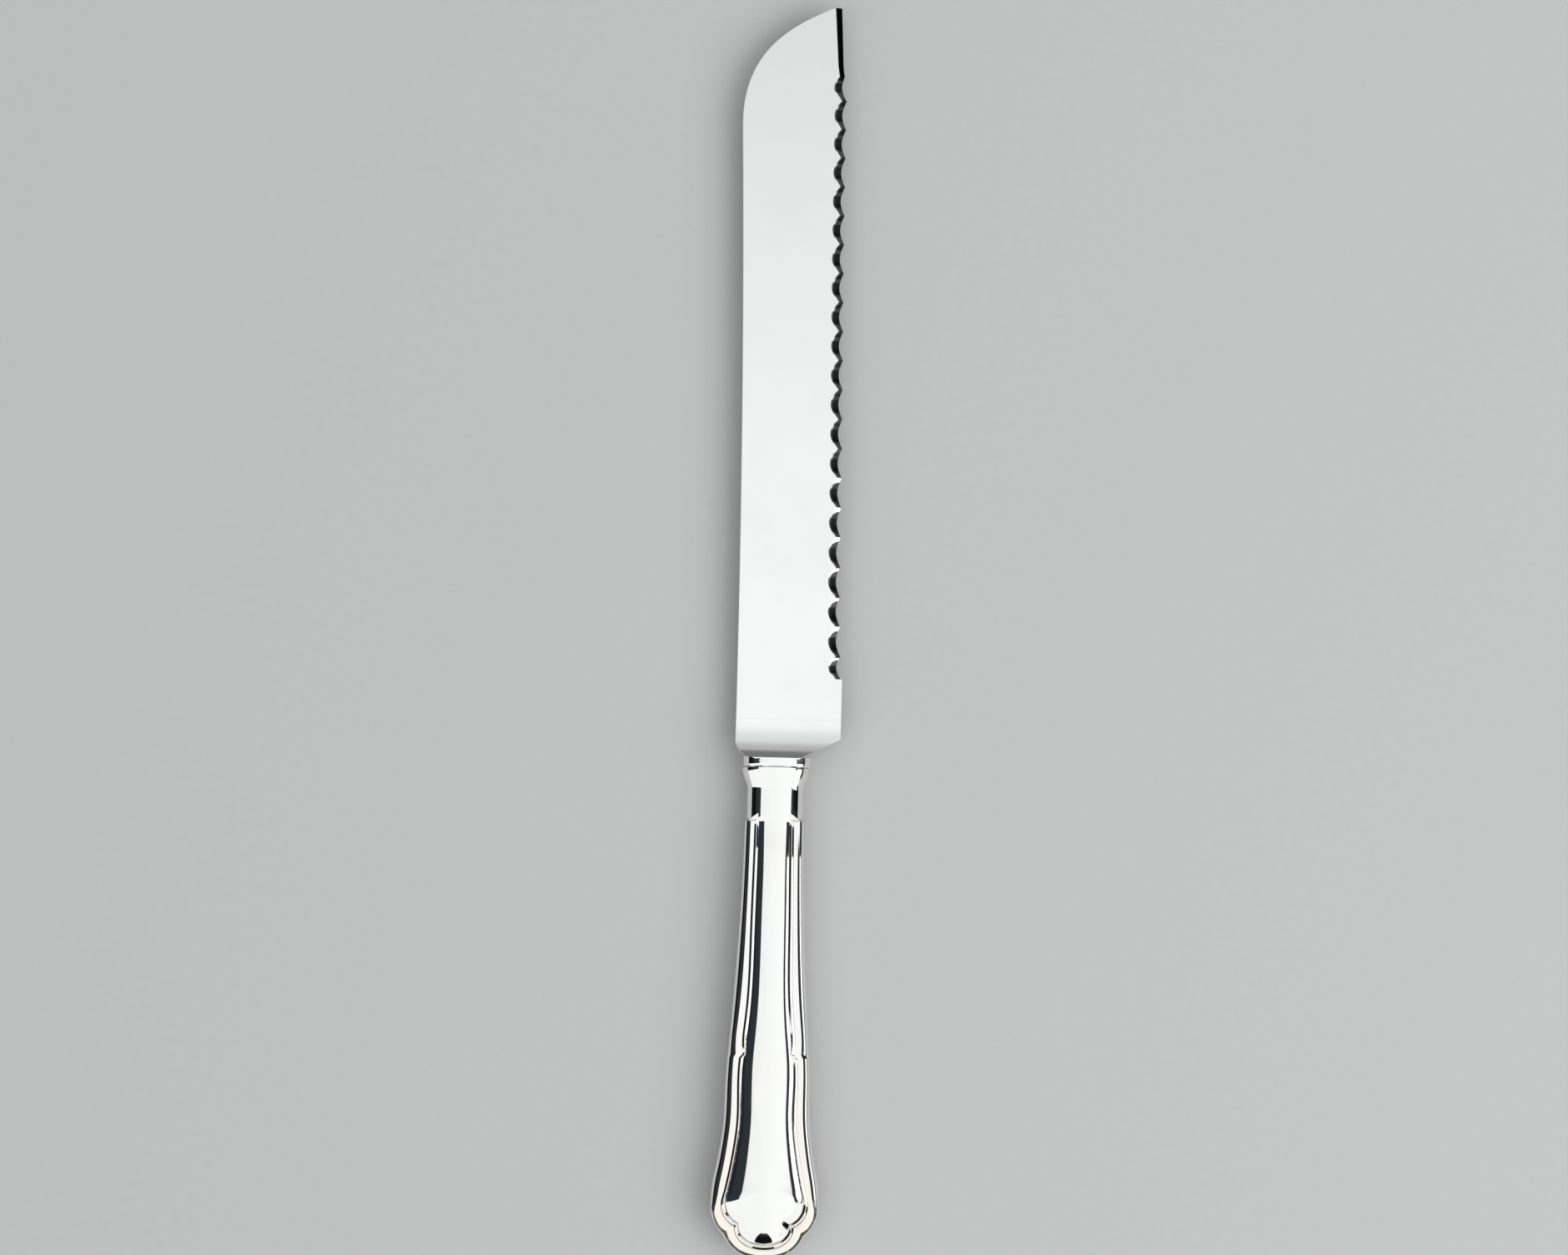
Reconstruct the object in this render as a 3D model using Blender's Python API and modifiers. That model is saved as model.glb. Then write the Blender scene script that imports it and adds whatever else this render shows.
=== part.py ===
"""Panettone knife: a serrated blade in a hollow, stamped handle with a threaded border and a lobed pommel.

The knife lies flat: +Y runs from the pommel to the blade's point, +X is the cutting edge's side and +Z is up.
While it is modelled, the handle's axis is the Y axis, the pommel ends at Y = 0 and the seam lies in Z = 0.
"""

import bmesh
import bpy
import numpy as np

MM = 0.001

# Handle, lengths from the pommel's end
BODY_LENGTH = 112.0 * MM
NECK_LENGTH = 8.4 * MM
CUP_LENGTH = 5.2 * MM
SHOULDER_ARCH = 2.3 * MM
SHOULDER_STEP = 0.8 * MM
MOUTH_BOW = 0.4 * MM
HIP_PLACE = 35.5 * MM
SHANK_PLACE = 84.0 * MM
# Handle, half widths of the seam's outline and heights above the seam
SHOULDER_HALF_WIDTH = 7.5 * MM
SHANK_HALF_WIDTH = 8.33 * MM
WAIST_HALF_WIDTH = 10.4 * MM
HIP_HALF_WIDTH = 11.04 * MM
POMMEL_HALF_WIDTH = 13.85 * MM
NECK_HALF_WIDTH = 7.2 * MM
NECK_HALF_HEIGHT = 5.0 * MM
RIM_HALF_WIDTH = 8.65 * MM
RIM_HALF_HEIGHT = 5.8 * MM
# Threaded border, from the seam inwards, and the domed panel inside it
BORDER_HEIGHT = 4.2 * MM
WALL_WIDTH = 1.8 * MM
WALL_CHAMFER_ANGLE = 27.5
BORDER_WIDTH = 1.9 * MM
BORDER_RELIEF = 0.15 * MM
THREAD_OUTER_WIDTH = 0.8 * MM
THREAD_INNER_WIDTH = 0.55 * MM
THREAD_RELIEF = 0.35 * MM
DOME_RISE_SHARE = 0.315
WAIST_PLACE = 52.1 * MM
WAIST_NOTCH_DEPTH = 0.5 * MM
WAIST_NOTCH_STEP = 1.3 * MM
WAIST_NOTCH_TAIL = 6.0 * MM
# Lobed pommel in plan, in millimetres on a pommel of this half width: each line's two pulls and end round the
# lobe, and then over the end to the axis
POMMEL_PATTERN_HALF_WIDTH = 13.85
POMMEL_SEAM = ((13.85, 10.8), (12.3, 8.3), (10.55, 6.0)), ((8.2, 2.4), (6.0, 0.0), (0.0, 0.0))
POMMEL_BORDER = ((12.95, 11.3), (11.9, 8.2), (9.46, 7.26)), ((8.6, 3.6), (5.3, 1.24), (0.0, 1.24))
POMMEL_THREAD = ((10.2, 11.4), (8.83, 9.78), (7.11, 8.97)), ((7.3, 5.6), (4.2, 3.33), (0.0, 3.33))
POMMEL_TOP = 13.3 * MM
POMMEL_FOCUS = 13.0 * MM
LOBE_FOCUS = 14.2 * MM
DOME_END = 17.0 * MM
DOME_END_FADE = 24.0 * MM
# Inside the handle
SHELL_WALL = 0.5 * MM
CLEARANCE = 0.3 * MM
MOUTH_GAP = 0.25 * MM
SOLDER_RADIUS = 0.5 * MM
PLUG_LENGTH = 7.0 * MM
TANG_LENGTH = 92.0 * MM
TANG_ROOT_RADIUS = 2.6 * MM
TANG_TIP_RADIUS = 1.6 * MM
SLOT_END_ROOM = 2.0 * MM
# Blade, lengths from the heel's end
BLADE_LENGTH = 192.0 * MM
BLADE_THICKNESS = 1.5 * MM
SPINE_OFFSET = 10.57 * MM
EDGE_OFFSET = 15.44 * MM
HEEL_EDGE_OFFSET = 16.48 * MM
HEEL_CORNER_RADIUS = 5.4 * MM
HEEL_FLAT_HALF_WIDTH = 6.5 * MM
HEEL_CHAMFER_LENGTH = 4.85 * MM
RAMP_LENGTH = 9.8 * MM
UNSERRATED_LENGTH = 20.25 * MM
FIRST_SCALLOP_LENGTH = 4.75 * MM
SCALLOP_PITCH = 7.47 * MM
SCALLOP_COUNT = 20
SCALLOP_FACE_DEPTH = 1.75 * MM
SCALLOP_EDGE_DEPTH = 1.05 * MM
BEVEL_WIDTH = 1.3 * MM
BEVEL_DROP = 1.1 * MM
BACK_BEVEL_WIDTH = 0.3 * MM
TIP_CURVE_LENGTH = 31.0 * MM
TIP_CURVE_PULL = 11.3 * MM
TIP_CURVE_HEADING = 23.0
TIP_EDGE_SLANT = 0.45 * MM
TIP_BEVEL_GAIN = 0.1 * MM
SPINE_CURVE_PULL = 20.0 * MM
SWEEP_START = 23.0 * MM
SWEEP_RADIUS = 4300.0 * MM
# Bolster
BOLSTER_LENGTH = 2.5 * MM
BOLSTER_FLARE = 0.2 * MM
BOLSTER_SHIFT = 0.35 * MM

MOUTH = BODY_LENGTH + NECK_LENGTH + CUP_LENGTH
HEEL = MOUTH + MOUTH_GAP + BOLSTER_LENGTH
WELD = 0.01 * MM
POMMEL_STEPS = 8


def clear_scene():
    for obj in list(bpy.data.objects):
        bpy.data.objects.remove(obj, do_unlink=True)


def make_collections():
    parts = bpy.data.collections.new("panettone_knife")
    cutters = bpy.data.collections.new("cutters")
    cutters.hide_render = True
    for collection in (parts, cutters):
        bpy.context.scene.collection.children.link(collection)
    return parts, cutters


def make_material(name, color, roughness, metallic):
    material = bpy.data.materials.new(name)
    material.use_nodes = True
    shader = material.node_tree.nodes["Principled BSDF"]
    shader.inputs["Base Color"].default_value = (*color, 1.0)
    shader.inputs["Roughness"].default_value = roughness
    shader.inputs["Metallic"].default_value = metallic
    return material


def add_object(name, mesh, collection, material=None):
    obj = bpy.data.objects.new(name, mesh)
    collection.objects.link(obj)
    if material:
        mesh.materials.append(material)
        mesh.shade_smooth()
        mesh.set_sharp_from_angle(angle=np.radians(28))
    return obj


def add_cutter(name, mesh, collection):
    cutter = add_object(name, mesh, collection)
    cutter.hide_render = True
    cutter.display_type = "WIRE"
    return cutter


def add_boolean(obj, other, operation):
    boolean = obj.modifiers.new(other.name, "BOOLEAN")
    boolean.operation = operation
    boolean.solver = "EXACT"
    boolean.object = other


def grid_faces(rows, columns, wrap=False):
    """The quads of a grid of points stored row by row. With wrap, the last column joins the first."""
    row, column = np.meshgrid(np.arange(rows - 1), np.arange(columns if wrap else columns - 1), indexing="ij")
    following = (column + 1) % columns
    corners = [row * columns + column, row * columns + following]
    corners += [(row + 1) * columns + following, (row + 1) * columns + column]
    return np.stack(corners, axis=-1).reshape(-1, 4).tolist()


def mesh_from(name, points, faces):
    mesh = bpy.data.meshes.new(name)
    mesh.from_pydata(points.reshape(-1, 3).tolist(), [], faces)
    mesh.update()
    return mesh


def tidy_mesh(mesh, flip_inside_out=True):
    """Welds coincident points, drops the faces that this closes up, and turns the rest to face outwards."""
    form = bmesh.new()
    form.from_mesh(mesh)
    bmesh.ops.remove_doubles(form, verts=form.verts, dist=WELD)
    bmesh.ops.dissolve_degenerate(form, edges=form.edges, dist=WELD)
    if flip_inside_out:
        bmesh.ops.recalc_face_normals(form, faces=form.faces)
    form.to_mesh(mesh)
    form.free()
    return mesh


def lofted_solid(name, sections):
    """A closed solid through ring-shaped sections of equally many points, capped at both ends."""
    rows, columns = sections.shape[:2]
    faces = grid_faces(rows, columns, wrap=True)
    faces.append(list(range(columns)))
    faces.append(list(range((rows - 1) * columns, rows * columns)))
    return tidy_mesh(mesh_from(name, sections, faces))


def oval_rings(places, half_widths, half_heights, segments, shift=0.0, bows=0.0):
    """Oval sections square to Y; a bow moves a section's middle towards the point."""
    angle = np.linspace(0, 2 * np.pi, segments, endpoint=False)
    places, half_widths, half_heights, shift, bows = np.broadcast_arrays(
        places, half_widths, half_heights, shift, bows
    )
    x = half_widths[:, None] * np.cos(angle) + shift[:, None]
    y = places[:, None] + bows[:, None] * np.sin(angle) ** 2
    z = half_heights[:, None] * np.sin(angle)
    return np.stack([x, y, z], axis=-1)


def bezier(start, leave, arrive, end, t):
    """Cubic curve between two points of the plan, pulled towards the two in the middle."""
    t = t[:, None]
    rise = 3 * (1 - t) ** 2 * t * np.array(leave) + 3 * (1 - t) * t**2 * np.array(arrive)
    return (1 - t) ** 3 * np.array(start) + rise + t**3 * np.array(end)


def smooth_through(stations, place):
    """A smooth curve through (place, value) stations that never overshoots them."""
    x, y = np.array(sorted(stations)).T
    slope = np.diff(y) / np.diff(x)
    same_way = slope[:-1] * slope[1:] > 0
    inner = np.where(same_way, 2 * slope[:-1] * slope[1:] / np.where(same_way, slope[:-1] + slope[1:], 1), 0)
    tangent = np.concatenate([slope[:1], inner, slope[-1:]])
    left = np.clip(np.searchsorted(x, place) - 1, 0, len(x) - 2)
    width = x[left + 1] - x[left]
    t = (place - x[left]) / width
    start = (1 + 2 * t) * (1 - t) ** 2 * y[left] + t * (1 - t) ** 2 * width * tangent[left]
    return start + t**2 * (3 - 2 * t) * y[left + 1] + t**2 * (t - 1) * width * tangent[left + 1]


def seam_line(place):
    """Half width of the handle's body where its halves meet, by distance from the pommel's end."""
    stations = [
        (POMMEL_TOP, POMMEL_HALF_WIDTH),
        (18.9 * MM, POMMEL_HALF_WIDTH - 0.3 * MM),
        (24.0 * MM, POMMEL_HALF_WIDTH - 1.25 * MM),
        (29.1 * MM, HIP_HALF_WIDTH + 0.7 * MM),
        (HIP_PLACE, HIP_HALF_WIDTH),
        (44.5 * MM, HIP_HALF_WIDTH - 0.2 * MM),
        (WAIST_PLACE, WAIST_HALF_WIDTH),
        (WAIST_PLACE + 5.2 * MM, WAIST_HALF_WIDTH - 0.4 * MM),
        (SHANK_PLACE, SHANK_HALF_WIDTH),
        (BODY_LENGTH, SHOULDER_HALF_WIDTH),
    ]
    return smooth_through(stations, place)


def waist_notch(place):
    """The border's bracket at the waist, from 0 to 1: steep below and drawn out up the shank."""
    steep = np.clip((place - WAIST_PLACE) / WAIST_NOTCH_STEP + 1, 0, 1)
    drawn_out = np.clip((place - WAIST_PLACE) / WAIST_NOTCH_TAIL, 0, 1)
    return steep**2 * (3 - 2 * steep) * (1 - drawn_out) ** 2


def border_line(place):
    """Half width at the border's outer edge, which steps in at the waist's notch."""
    stations = [(POMMEL_TOP, 0.7), (18.9 * MM, 1.07), (HIP_PLACE, 1.0), (BODY_LENGTH, 0.85)]
    share = smooth_through(stations, place)
    return seam_line(place) - WALL_WIDTH * share - WAIST_NOTCH_DEPTH * waist_notch(place)


def thread_line(place):
    """Half width at the thread's crest inside the border, whose notch is deeper."""
    stations = [(POMMEL_TOP, 1.1), (15.0 * MM, 0.88), (HIP_PLACE, 1.0), (BODY_LENGTH, 0.85)]
    share = smooth_through(stations, place)
    return border_line(place) - BORDER_WIDTH * share - 0.8 * WAIST_NOTCH_DEPTH * waist_notch(place)


def dome_line(place):
    """Half width of the domed panel, whose foot passes the notch smoothly and squeezes the thread."""
    return thread_line(place) + 1.8 * WAIST_NOTCH_DEPTH * waist_notch(place) - THREAD_INNER_WIDTH


def body_rails():
    """The handle's plan in four lines from shoulder to end: seam, border, thread and the dome's foot.

    Each is a row of (x, y) points at matching stations. A fifth line holds the point on the axis that each
    station's dome runs up to; these points crowd together near the pommel's middle.
    """
    down = WAIST_NOTCH_STEP * np.array([0, 0.35, 0.7, 1.0, 2.7])
    up = WAIST_NOTCH_TAIL * np.array([0.83, 0.42, 0.17])
    notch = WAIST_PLACE + np.concatenate([up, -down])
    shank = np.linspace(BODY_LENGTH - 3 * MM, notch[0], 8, endpoint=False)
    hip = np.linspace(notch[-1], POMMEL_TOP, 9)
    straight = np.concatenate([[BODY_LENGTH], shank, notch, hip[1:]])
    lines = (seam_line(straight), border_line(straight), thread_line(straight), dome_line(straight))
    seam, border, thread, dome = [np.stack([line, straight], axis=-1) for line in lines]
    near_end = np.clip((DOME_END_FADE - straight) / (DOME_END_FADE - POMMEL_TOP), 0, 1)
    foot = straight + near_end**2 * (DOME_END - POMMEL_TOP)
    seam = pommel_line(seam, POMMEL_SEAM)
    border = pommel_line(border, POMMEL_BORDER)
    thread = pommel_line(thread, POMMEL_THREAD)
    along = np.linspace(0, 1, POMMEL_STEPS)[1:]
    foot_lobe = foot[-1] + (LOBE_FOCUS - foot[-1]) * along
    foot_end = LOBE_FOCUS + (POMMEL_FOCUS - LOBE_FOCUS) * along
    foot = np.concatenate([foot, foot_lobe, foot_end])
    axis = np.stack([0 * foot, foot], axis=-1)
    lobes = inset_plan(thread, axis, THREAD_INNER_WIDTH)[len(straight) :]
    return seam, border, thread, np.concatenate([dome, lobes]), axis


def pommel_line(side, pattern):
    """Carries a side's line on round the pommel's lobe to its cusp, then round the end to the axis."""
    along = np.linspace(0, 1, POMMEL_STEPS)[1:]
    size = np.array([POMMEL_HALF_WIDTH / POMMEL_PATTERN_HALF_WIDTH, MM])
    lobe, end = np.array(pattern) * size
    return np.concatenate([side, bezier(side[-1], *lobe, along), bezier(lobe[-1], *end, along)])


def inset_plan(line, axis, distance):
    """Moves each point of a line towards its point on the axis."""
    inwards = axis - line
    return line + inwards / np.linalg.norm(inwards, axis=-1, keepdims=True) * distance


def crest_height(axis):
    """Height of the dome's ridge above the seam: its rise is a share of its half width."""
    place = np.maximum(axis[:, 1], DOME_END)
    return BORDER_HEIGHT - BORDER_RELIEF + DOME_RISE_SHARE * dome_line(place)


def body_rows():
    """Points of the body's front right quarter, shoulder to end by seam to axis.

    Each section climbs an upright wall, a round edge and a chamfer, crosses the border's bead, the groove and
    the thread, and ends in a parabolic dome.
    """
    seam, border, thread, dome, axis = body_rails()
    groove = inset_plan(thread, axis, -THREAD_OUTER_WIDTH)
    angle = np.radians(WALL_CHAMFER_ANGLE)
    width = np.linalg.norm(border - seam, axis=-1)
    edge_width = 0.41 * width
    edge_radius = edge_width / (1 - np.sin(angle))
    valley = BORDER_HEIGHT - BORDER_RELIEF + 0 * width
    chamfer_foot = valley - (width - edge_width) * np.tan(angle)
    wall_top = chamfer_foot - edge_radius * np.cos(angle)
    heights = (0 * width - 2 * SHELL_WALL, 0 * width, wall_top)
    columns = [np.column_stack([seam, height]) for height in heights]
    for tilt in (np.radians(58), angle):
        across = edge_radius * (1 - np.sin(tilt)) / width
        plan = seam + (border - seam) * across[:, None]
        columns.append(np.column_stack([plan, wall_top + edge_radius * np.cos(tilt)]))
    columns.append(np.column_stack([border, valley]))
    columns.append(np.column_stack([(border + groove) / 2, valley + BORDER_RELIEF]))
    columns.append(np.column_stack([groove, valley]))
    columns.append(np.column_stack([thread, valley + THREAD_RELIEF]))
    crest = crest_height(axis)
    for across in (0.0, 0.15, 0.4, 0.7, 1.0):
        plan = dome + (axis - dome) * across
        columns.append(np.column_stack([plan, valley + (crest - valley) * (1 - (1 - across) ** 2)]))
    return np.stack(columns, axis=1)


def neck_rows(shoulder):
    """Oval rows from the mouth's rim to the shoulder, whose points line up with the body's first row."""
    share = shoulder[:, 0] / shoulder[0, 0]
    curve = np.sqrt(1 - share**2)
    neck_end = BODY_LENGTH + SHOULDER_STEP
    neck_start = MOUTH - CUP_LENGTH
    flare = RIM_HALF_WIDTH - NECK_HALF_WIDTH
    rise = RIM_HALF_HEIGHT - NECK_HALF_HEIGHT
    rows = []
    for down in (0.0, 0.2, 0.4, 0.6, 0.85, 1.0):
        part = np.cos(down * np.pi / 2) ** 1.2
        place = MOUTH - down * CUP_LENGTH
        rows.append((place, NECK_HALF_WIDTH + flare * part, NECK_HALF_HEIGHT + rise * part, MOUTH_BOW))
    for down in (0.35, 0.7, 1.0):
        place = neck_start + (neck_end - neck_start) * down
        arch = MOUTH_BOW + (SHOULDER_ARCH - MOUTH_BOW) * down
        rows.append((place, NECK_HALF_WIDTH, NECK_HALF_HEIGHT, arch))
    points = []
    for place, half_width, half_height, arch in rows:
        row = np.stack([half_width * share, place + arch * (1 - share**2), half_height * curve], axis=-1)
        row[0, 2] = shoulder[0, 2]
        points.append(row)
    return np.stack(points)


def handle_rows():
    """All points of the handle's front right quarter; the arch of the shoulder fades out down the shank."""
    body = body_rows()
    share = body[:, :, 0] / np.maximum(body[:, :1, 0], WELD)
    fade = np.exp(-(((BODY_LENGTH - body[:, :1, 1]) / (9 * MM)) ** 2))
    fade = np.where(fade > 0.01, fade, 0)
    body[:, :, 1] += SHOULDER_ARCH * fade * (1 - share**2)
    return np.concatenate([neck_rows(body[0]), body])


def make_shell(name, side, parts, cutters, material):
    """One stamped half: the quarter mirrored across the axis, given its wall, and cut flat at the seam."""
    points = handle_rows() * np.array([1.0, 1.0, side])
    faces = grid_faces(*points.shape[:2])
    if side < 0:
        faces = [face[::-1] for face in faces]
    mesh = tidy_mesh(mesh_from(name, points, faces), flip_inside_out=False)
    shell = add_object(name, mesh, parts, material)
    mirror = shell.modifiers.new("other side", "MIRROR")
    mirror.use_clip = True
    mirror.merge_threshold = WELD
    wall = shell.modifiers.new("wall", "SOLIDIFY")
    wall.thickness = SHELL_WALL
    wall.offset = -1.0
    deep = 4 * SHELL_WALL
    beyond = 2 * POMMEL_HALF_WIDTH
    block = bmesh.new()
    bmesh.ops.create_cube(block, size=1.0)
    bmesh.ops.scale(block, verts=block.verts, vec=(2 * beyond, MOUTH + 2 * beyond, deep))
    bmesh.ops.translate(block, verts=block.verts, vec=(0, MOUTH / 2, -side * deep / 2))
    cutter_mesh = bpy.data.meshes.new(name + "_seam_cutter")
    block.to_mesh(cutter_mesh)
    block.free()
    cutter = add_cutter(name + "_seam_cutter", cutter_mesh, cutters)
    add_boolean(shell, cutter, "DIFFERENCE")
    return shell


def make_solder(parts, material):
    """The bead of solder round the inside of the seam, from shoulder to shoulder by way of the pommel."""
    seam, _, _, _, axis = body_rails()
    line = inset_plan(seam, axis, SHELL_WALL + CLEARANCE + SOLDER_RADIUS)[1:]
    other_side = line[-2::-1] * np.array([-1, 1])
    route = np.concatenate([line, other_side])
    curve = bpy.data.curves.new("seam_solder", "CURVE")
    curve.dimensions = "3D"
    curve.bevel_depth = SOLDER_RADIUS
    curve.bevel_resolution = 1
    curve.use_fill_caps = True
    spline = curve.splines.new("POLY")
    spline.points.add(len(route) - 1)
    for point, (x, y) in zip(spline.points, route):
        point.co = (x, y, 0, 1)
    curve.materials.append(material)
    solder = bpy.data.objects.new("seam_solder", curve)
    parts.objects.link(solder)
    return solder


def make_filling(parts, cutters, material):
    """The cement inside the shells: the body's form set in from their walls, with a slot for the tang."""
    seam, _, _, dome, axis = body_rails()
    skin = SHELL_WALL + CLEARANCE
    side = inset_plan(seam, axis, skin + 2 * SOLDER_RADIUS + CLEARANCE)
    ledge = inset_plan(dome, axis, CLEARANCE)
    valley = BORDER_HEIGHT - BORDER_RELIEF + 0 * axis[:, 1]
    crest = crest_height(axis) - skin - CLEARANCE / 2
    columns = [np.column_stack([side, 0 * valley]), np.column_stack([side, valley - 2 * skin])]
    for across in (0.0, 0.15, 0.5, 1.0):
        plan = ledge + (axis - ledge) * across
        low = valley - skin - CLEARANCE
        columns.append(np.column_stack([plan, low + (crest - low) * (1 - (1 - across) ** 2)]))
    quarter = np.stack(columns, axis=1)[1:]
    rows, count = quarter.shape[:2]
    faces = grid_faces(rows, count)
    top = list(range(count)) + [rows * count]
    faces.append(top[::-1])
    points = np.concatenate([quarter.reshape(-1, 3), [[0, quarter[0, -1, 1], 0]]])
    mesh = tidy_mesh(mesh_from("cement_filling", points, faces), flip_inside_out=False)
    filling = add_object("cement_filling", mesh, parts, material)
    mirror = filling.modifiers.new("other quarters", "MIRROR")
    mirror.use_axis = (True, False, True)
    mirror.use_clip = True
    mirror.merge_threshold = WELD
    slot = lofted_solid("tang_slot", tang_rings(CLEARANCE, SLOT_END_ROOM))
    add_boolean(filling, add_cutter("tang_slot", slot, cutters), "DIFFERENCE")
    return filling


def tang_rings(margin=0.0, end_room=0.0):
    """Round, tapered rat-tail tang from inside the plug; the margins make it the slot that takes it."""
    start = MOUTH - PLUG_LENGTH + MM
    places = np.array([start + end_room * 4, start - TANG_LENGTH - end_room])
    radii = np.array([TANG_ROOT_RADIUS, TANG_TIP_RADIUS]) + margin
    return oval_rings(places, radii, radii, 12)


def spine_curve():
    """The blade's back near its point: a curve that leaves the spine and bends over to the point."""
    heading = np.radians(TIP_CURVE_HEADING)
    tip = np.array([EDGE_OFFSET - BEVEL_WIDTH - TIP_EDGE_SLANT - TIP_BEVEL_GAIN, BLADE_LENGTH])
    leave = tip - TIP_CURVE_PULL * np.array([np.cos(heading), np.sin(heading)])
    spine = np.array([-SPINE_OFFSET, BLADE_LENGTH - TIP_CURVE_LENGTH])
    arrive = spine + np.array([0, SPINE_CURVE_PULL])
    return bezier(tip, leave, arrive, spine, np.linspace(0, 1, 60))


def spine_line(place):
    """The spine's X by distance from the heel: heel corner arc, straight, then the curve to the point."""
    arc = np.clip(HEEL_CORNER_RADIUS - place, 0, HEEL_CORNER_RADIUS)
    corner = HEEL_CORNER_RADIUS - np.sqrt(HEEL_CORNER_RADIUS**2 - arc**2)
    curve = spine_curve()[::-1]
    return np.interp(place, curve[:, 1], curve[:, 0], left=-SPINE_OFFSET) + corner


def edge_lines(place):
    """X of the cutting side by distance from the heel: (front face's boundary, back face's silhouette)."""
    first_tooth = UNSERRATED_LENGTH + FIRST_SCALLOP_LENGTH
    serration_end = first_tooth + SCALLOP_COUNT * SCALLOP_PITCH
    chamfer = HEEL_FLAT_HALF_WIDTH + (HEEL_EDGE_OFFSET - HEEL_FLAT_HALF_WIDTH) * place / HEEL_CHAMFER_LENGTH
    heel = np.minimum(np.maximum(chamfer, HEEL_FLAT_HALF_WIDTH), HEEL_EDGE_OFFSET)
    along = np.where(place < first_tooth, (place - UNSERRATED_LENGTH) / FIRST_SCALLOP_LENGTH, 0)
    along = np.where(place >= first_tooth, (place - first_tooth) / SCALLOP_PITCH % 1.0, along)
    hollow = np.sin(np.pi * np.clip(along, 0, 1))
    toothed = (place > UNSERRATED_LENGTH) & (place < serration_end)
    hollow = np.where(toothed, hollow, 0)
    plain = np.clip((place - serration_end) / (BLADE_LENGTH - serration_end), 0, 1)
    edge = EDGE_OFFSET - TIP_EDGE_SLANT * plain
    face = edge - BEVEL_WIDTH - TIP_BEVEL_GAIN * plain
    unserrated = place <= UNSERRATED_LENGTH
    face = np.where(unserrated, heel, face - SCALLOP_FACE_DEPTH * hollow)
    edge = np.where(unserrated, heel, edge - SCALLOP_EDGE_DEPTH * hollow)
    return face, edge


def half_thickness(place):
    """Half the blade's thickness: flat, with a hollow ramp up to the bolster's height at the heel."""
    rise = RIM_HALF_HEIGHT - BLADE_THICKNESS / 2
    run = np.clip(1 - place / RAMP_LENGTH, 0, 1)
    return BLADE_THICKNESS / 2 + rise * run**2


def make_blade(parts, cutters, material):
    """Blade, bolster, plug and tang, forged in one."""
    teeth = UNSERRATED_LENGTH + FIRST_SCALLOP_LENGTH + SCALLOP_PITCH * np.arange(SCALLOP_COUNT)
    within = np.array([0, 0.12, 0.3, 0.5, 0.7, 0.88])
    scallops = (teeth[:, None] + SCALLOP_PITCH * within).ravel()
    first = UNSERRATED_LENGTH + FIRST_SCALLOP_LENGTH * np.array([0, 0.04, 0.2, 0.5, 0.8])
    heel = np.array([-1.0, 0.0, 0.25, 0.7, 1.4, 2.2, 3.0, 3.9]) * MM
    corner = [HEEL_CHAMFER_LENGTH, HEEL_CORNER_RADIUS, (HEEL_CORNER_RADIUS + RAMP_LENGTH) / 2]
    heel = np.concatenate([heel, corner])
    tip_start = teeth[-1] + SCALLOP_PITCH
    tip = BLADE_LENGTH - (BLADE_LENGTH - tip_start) * np.linspace(1, 0.14, 9)
    point = BLADE_LENGTH - np.array([1.6, 0.8, 0.25, 0.05]) * MM
    place = np.concatenate([heel, [RAMP_LENGTH], first, scallops, tip, point])
    face, edge = edge_lines(place)
    spine = spine_line(place)
    half = half_thickness(place)
    sweep = np.clip(place - SWEEP_START, 0, None) ** 2 / (2 * SWEEP_RADIUS)
    back = edge - np.where(place > UNSERRATED_LENGTH, BACK_BEVEL_WIDTH, 0)
    corners = [(spine, half), (face, half), (edge, half - BEVEL_DROP), (back, -half), (spine, -half)]
    sections = [np.stack([x - sweep, HEEL + place, z], axis=-1) for x, z in corners]
    blade = add_object("blade", lofted_solid("blade", np.stack(sections, axis=1)), parts, material)

    bolster_ends = np.array([MOUTH + MOUTH_GAP, HEEL])
    flare = np.array([0.0, BOLSTER_FLARE])
    bolster = oval_rings(
        bolster_ends,
        RIM_HALF_WIDTH + flare,
        RIM_HALF_HEIGHT + flare,
        40,
        shift=np.array([0.0, BOLSTER_SHIFT]),
        bows=np.array([MOUTH_BOW, 0.0]),
    )
    snug = SHELL_WALL + CLEARANCE
    plug = oval_rings(
        np.array([MOUTH + MOUTH_GAP + 0.5 * BOLSTER_LENGTH, MOUTH - PLUG_LENGTH]),
        NECK_HALF_WIDTH - snug,
        NECK_HALF_HEIGHT - snug,
        32,
    )
    for name, sections in (("bolster", bolster), ("plug", plug), ("tang", tang_rings())):
        joined = add_cutter(name, lofted_solid(name, sections), cutters)
        add_boolean(blade, joined, "UNION")
    return blade


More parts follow.
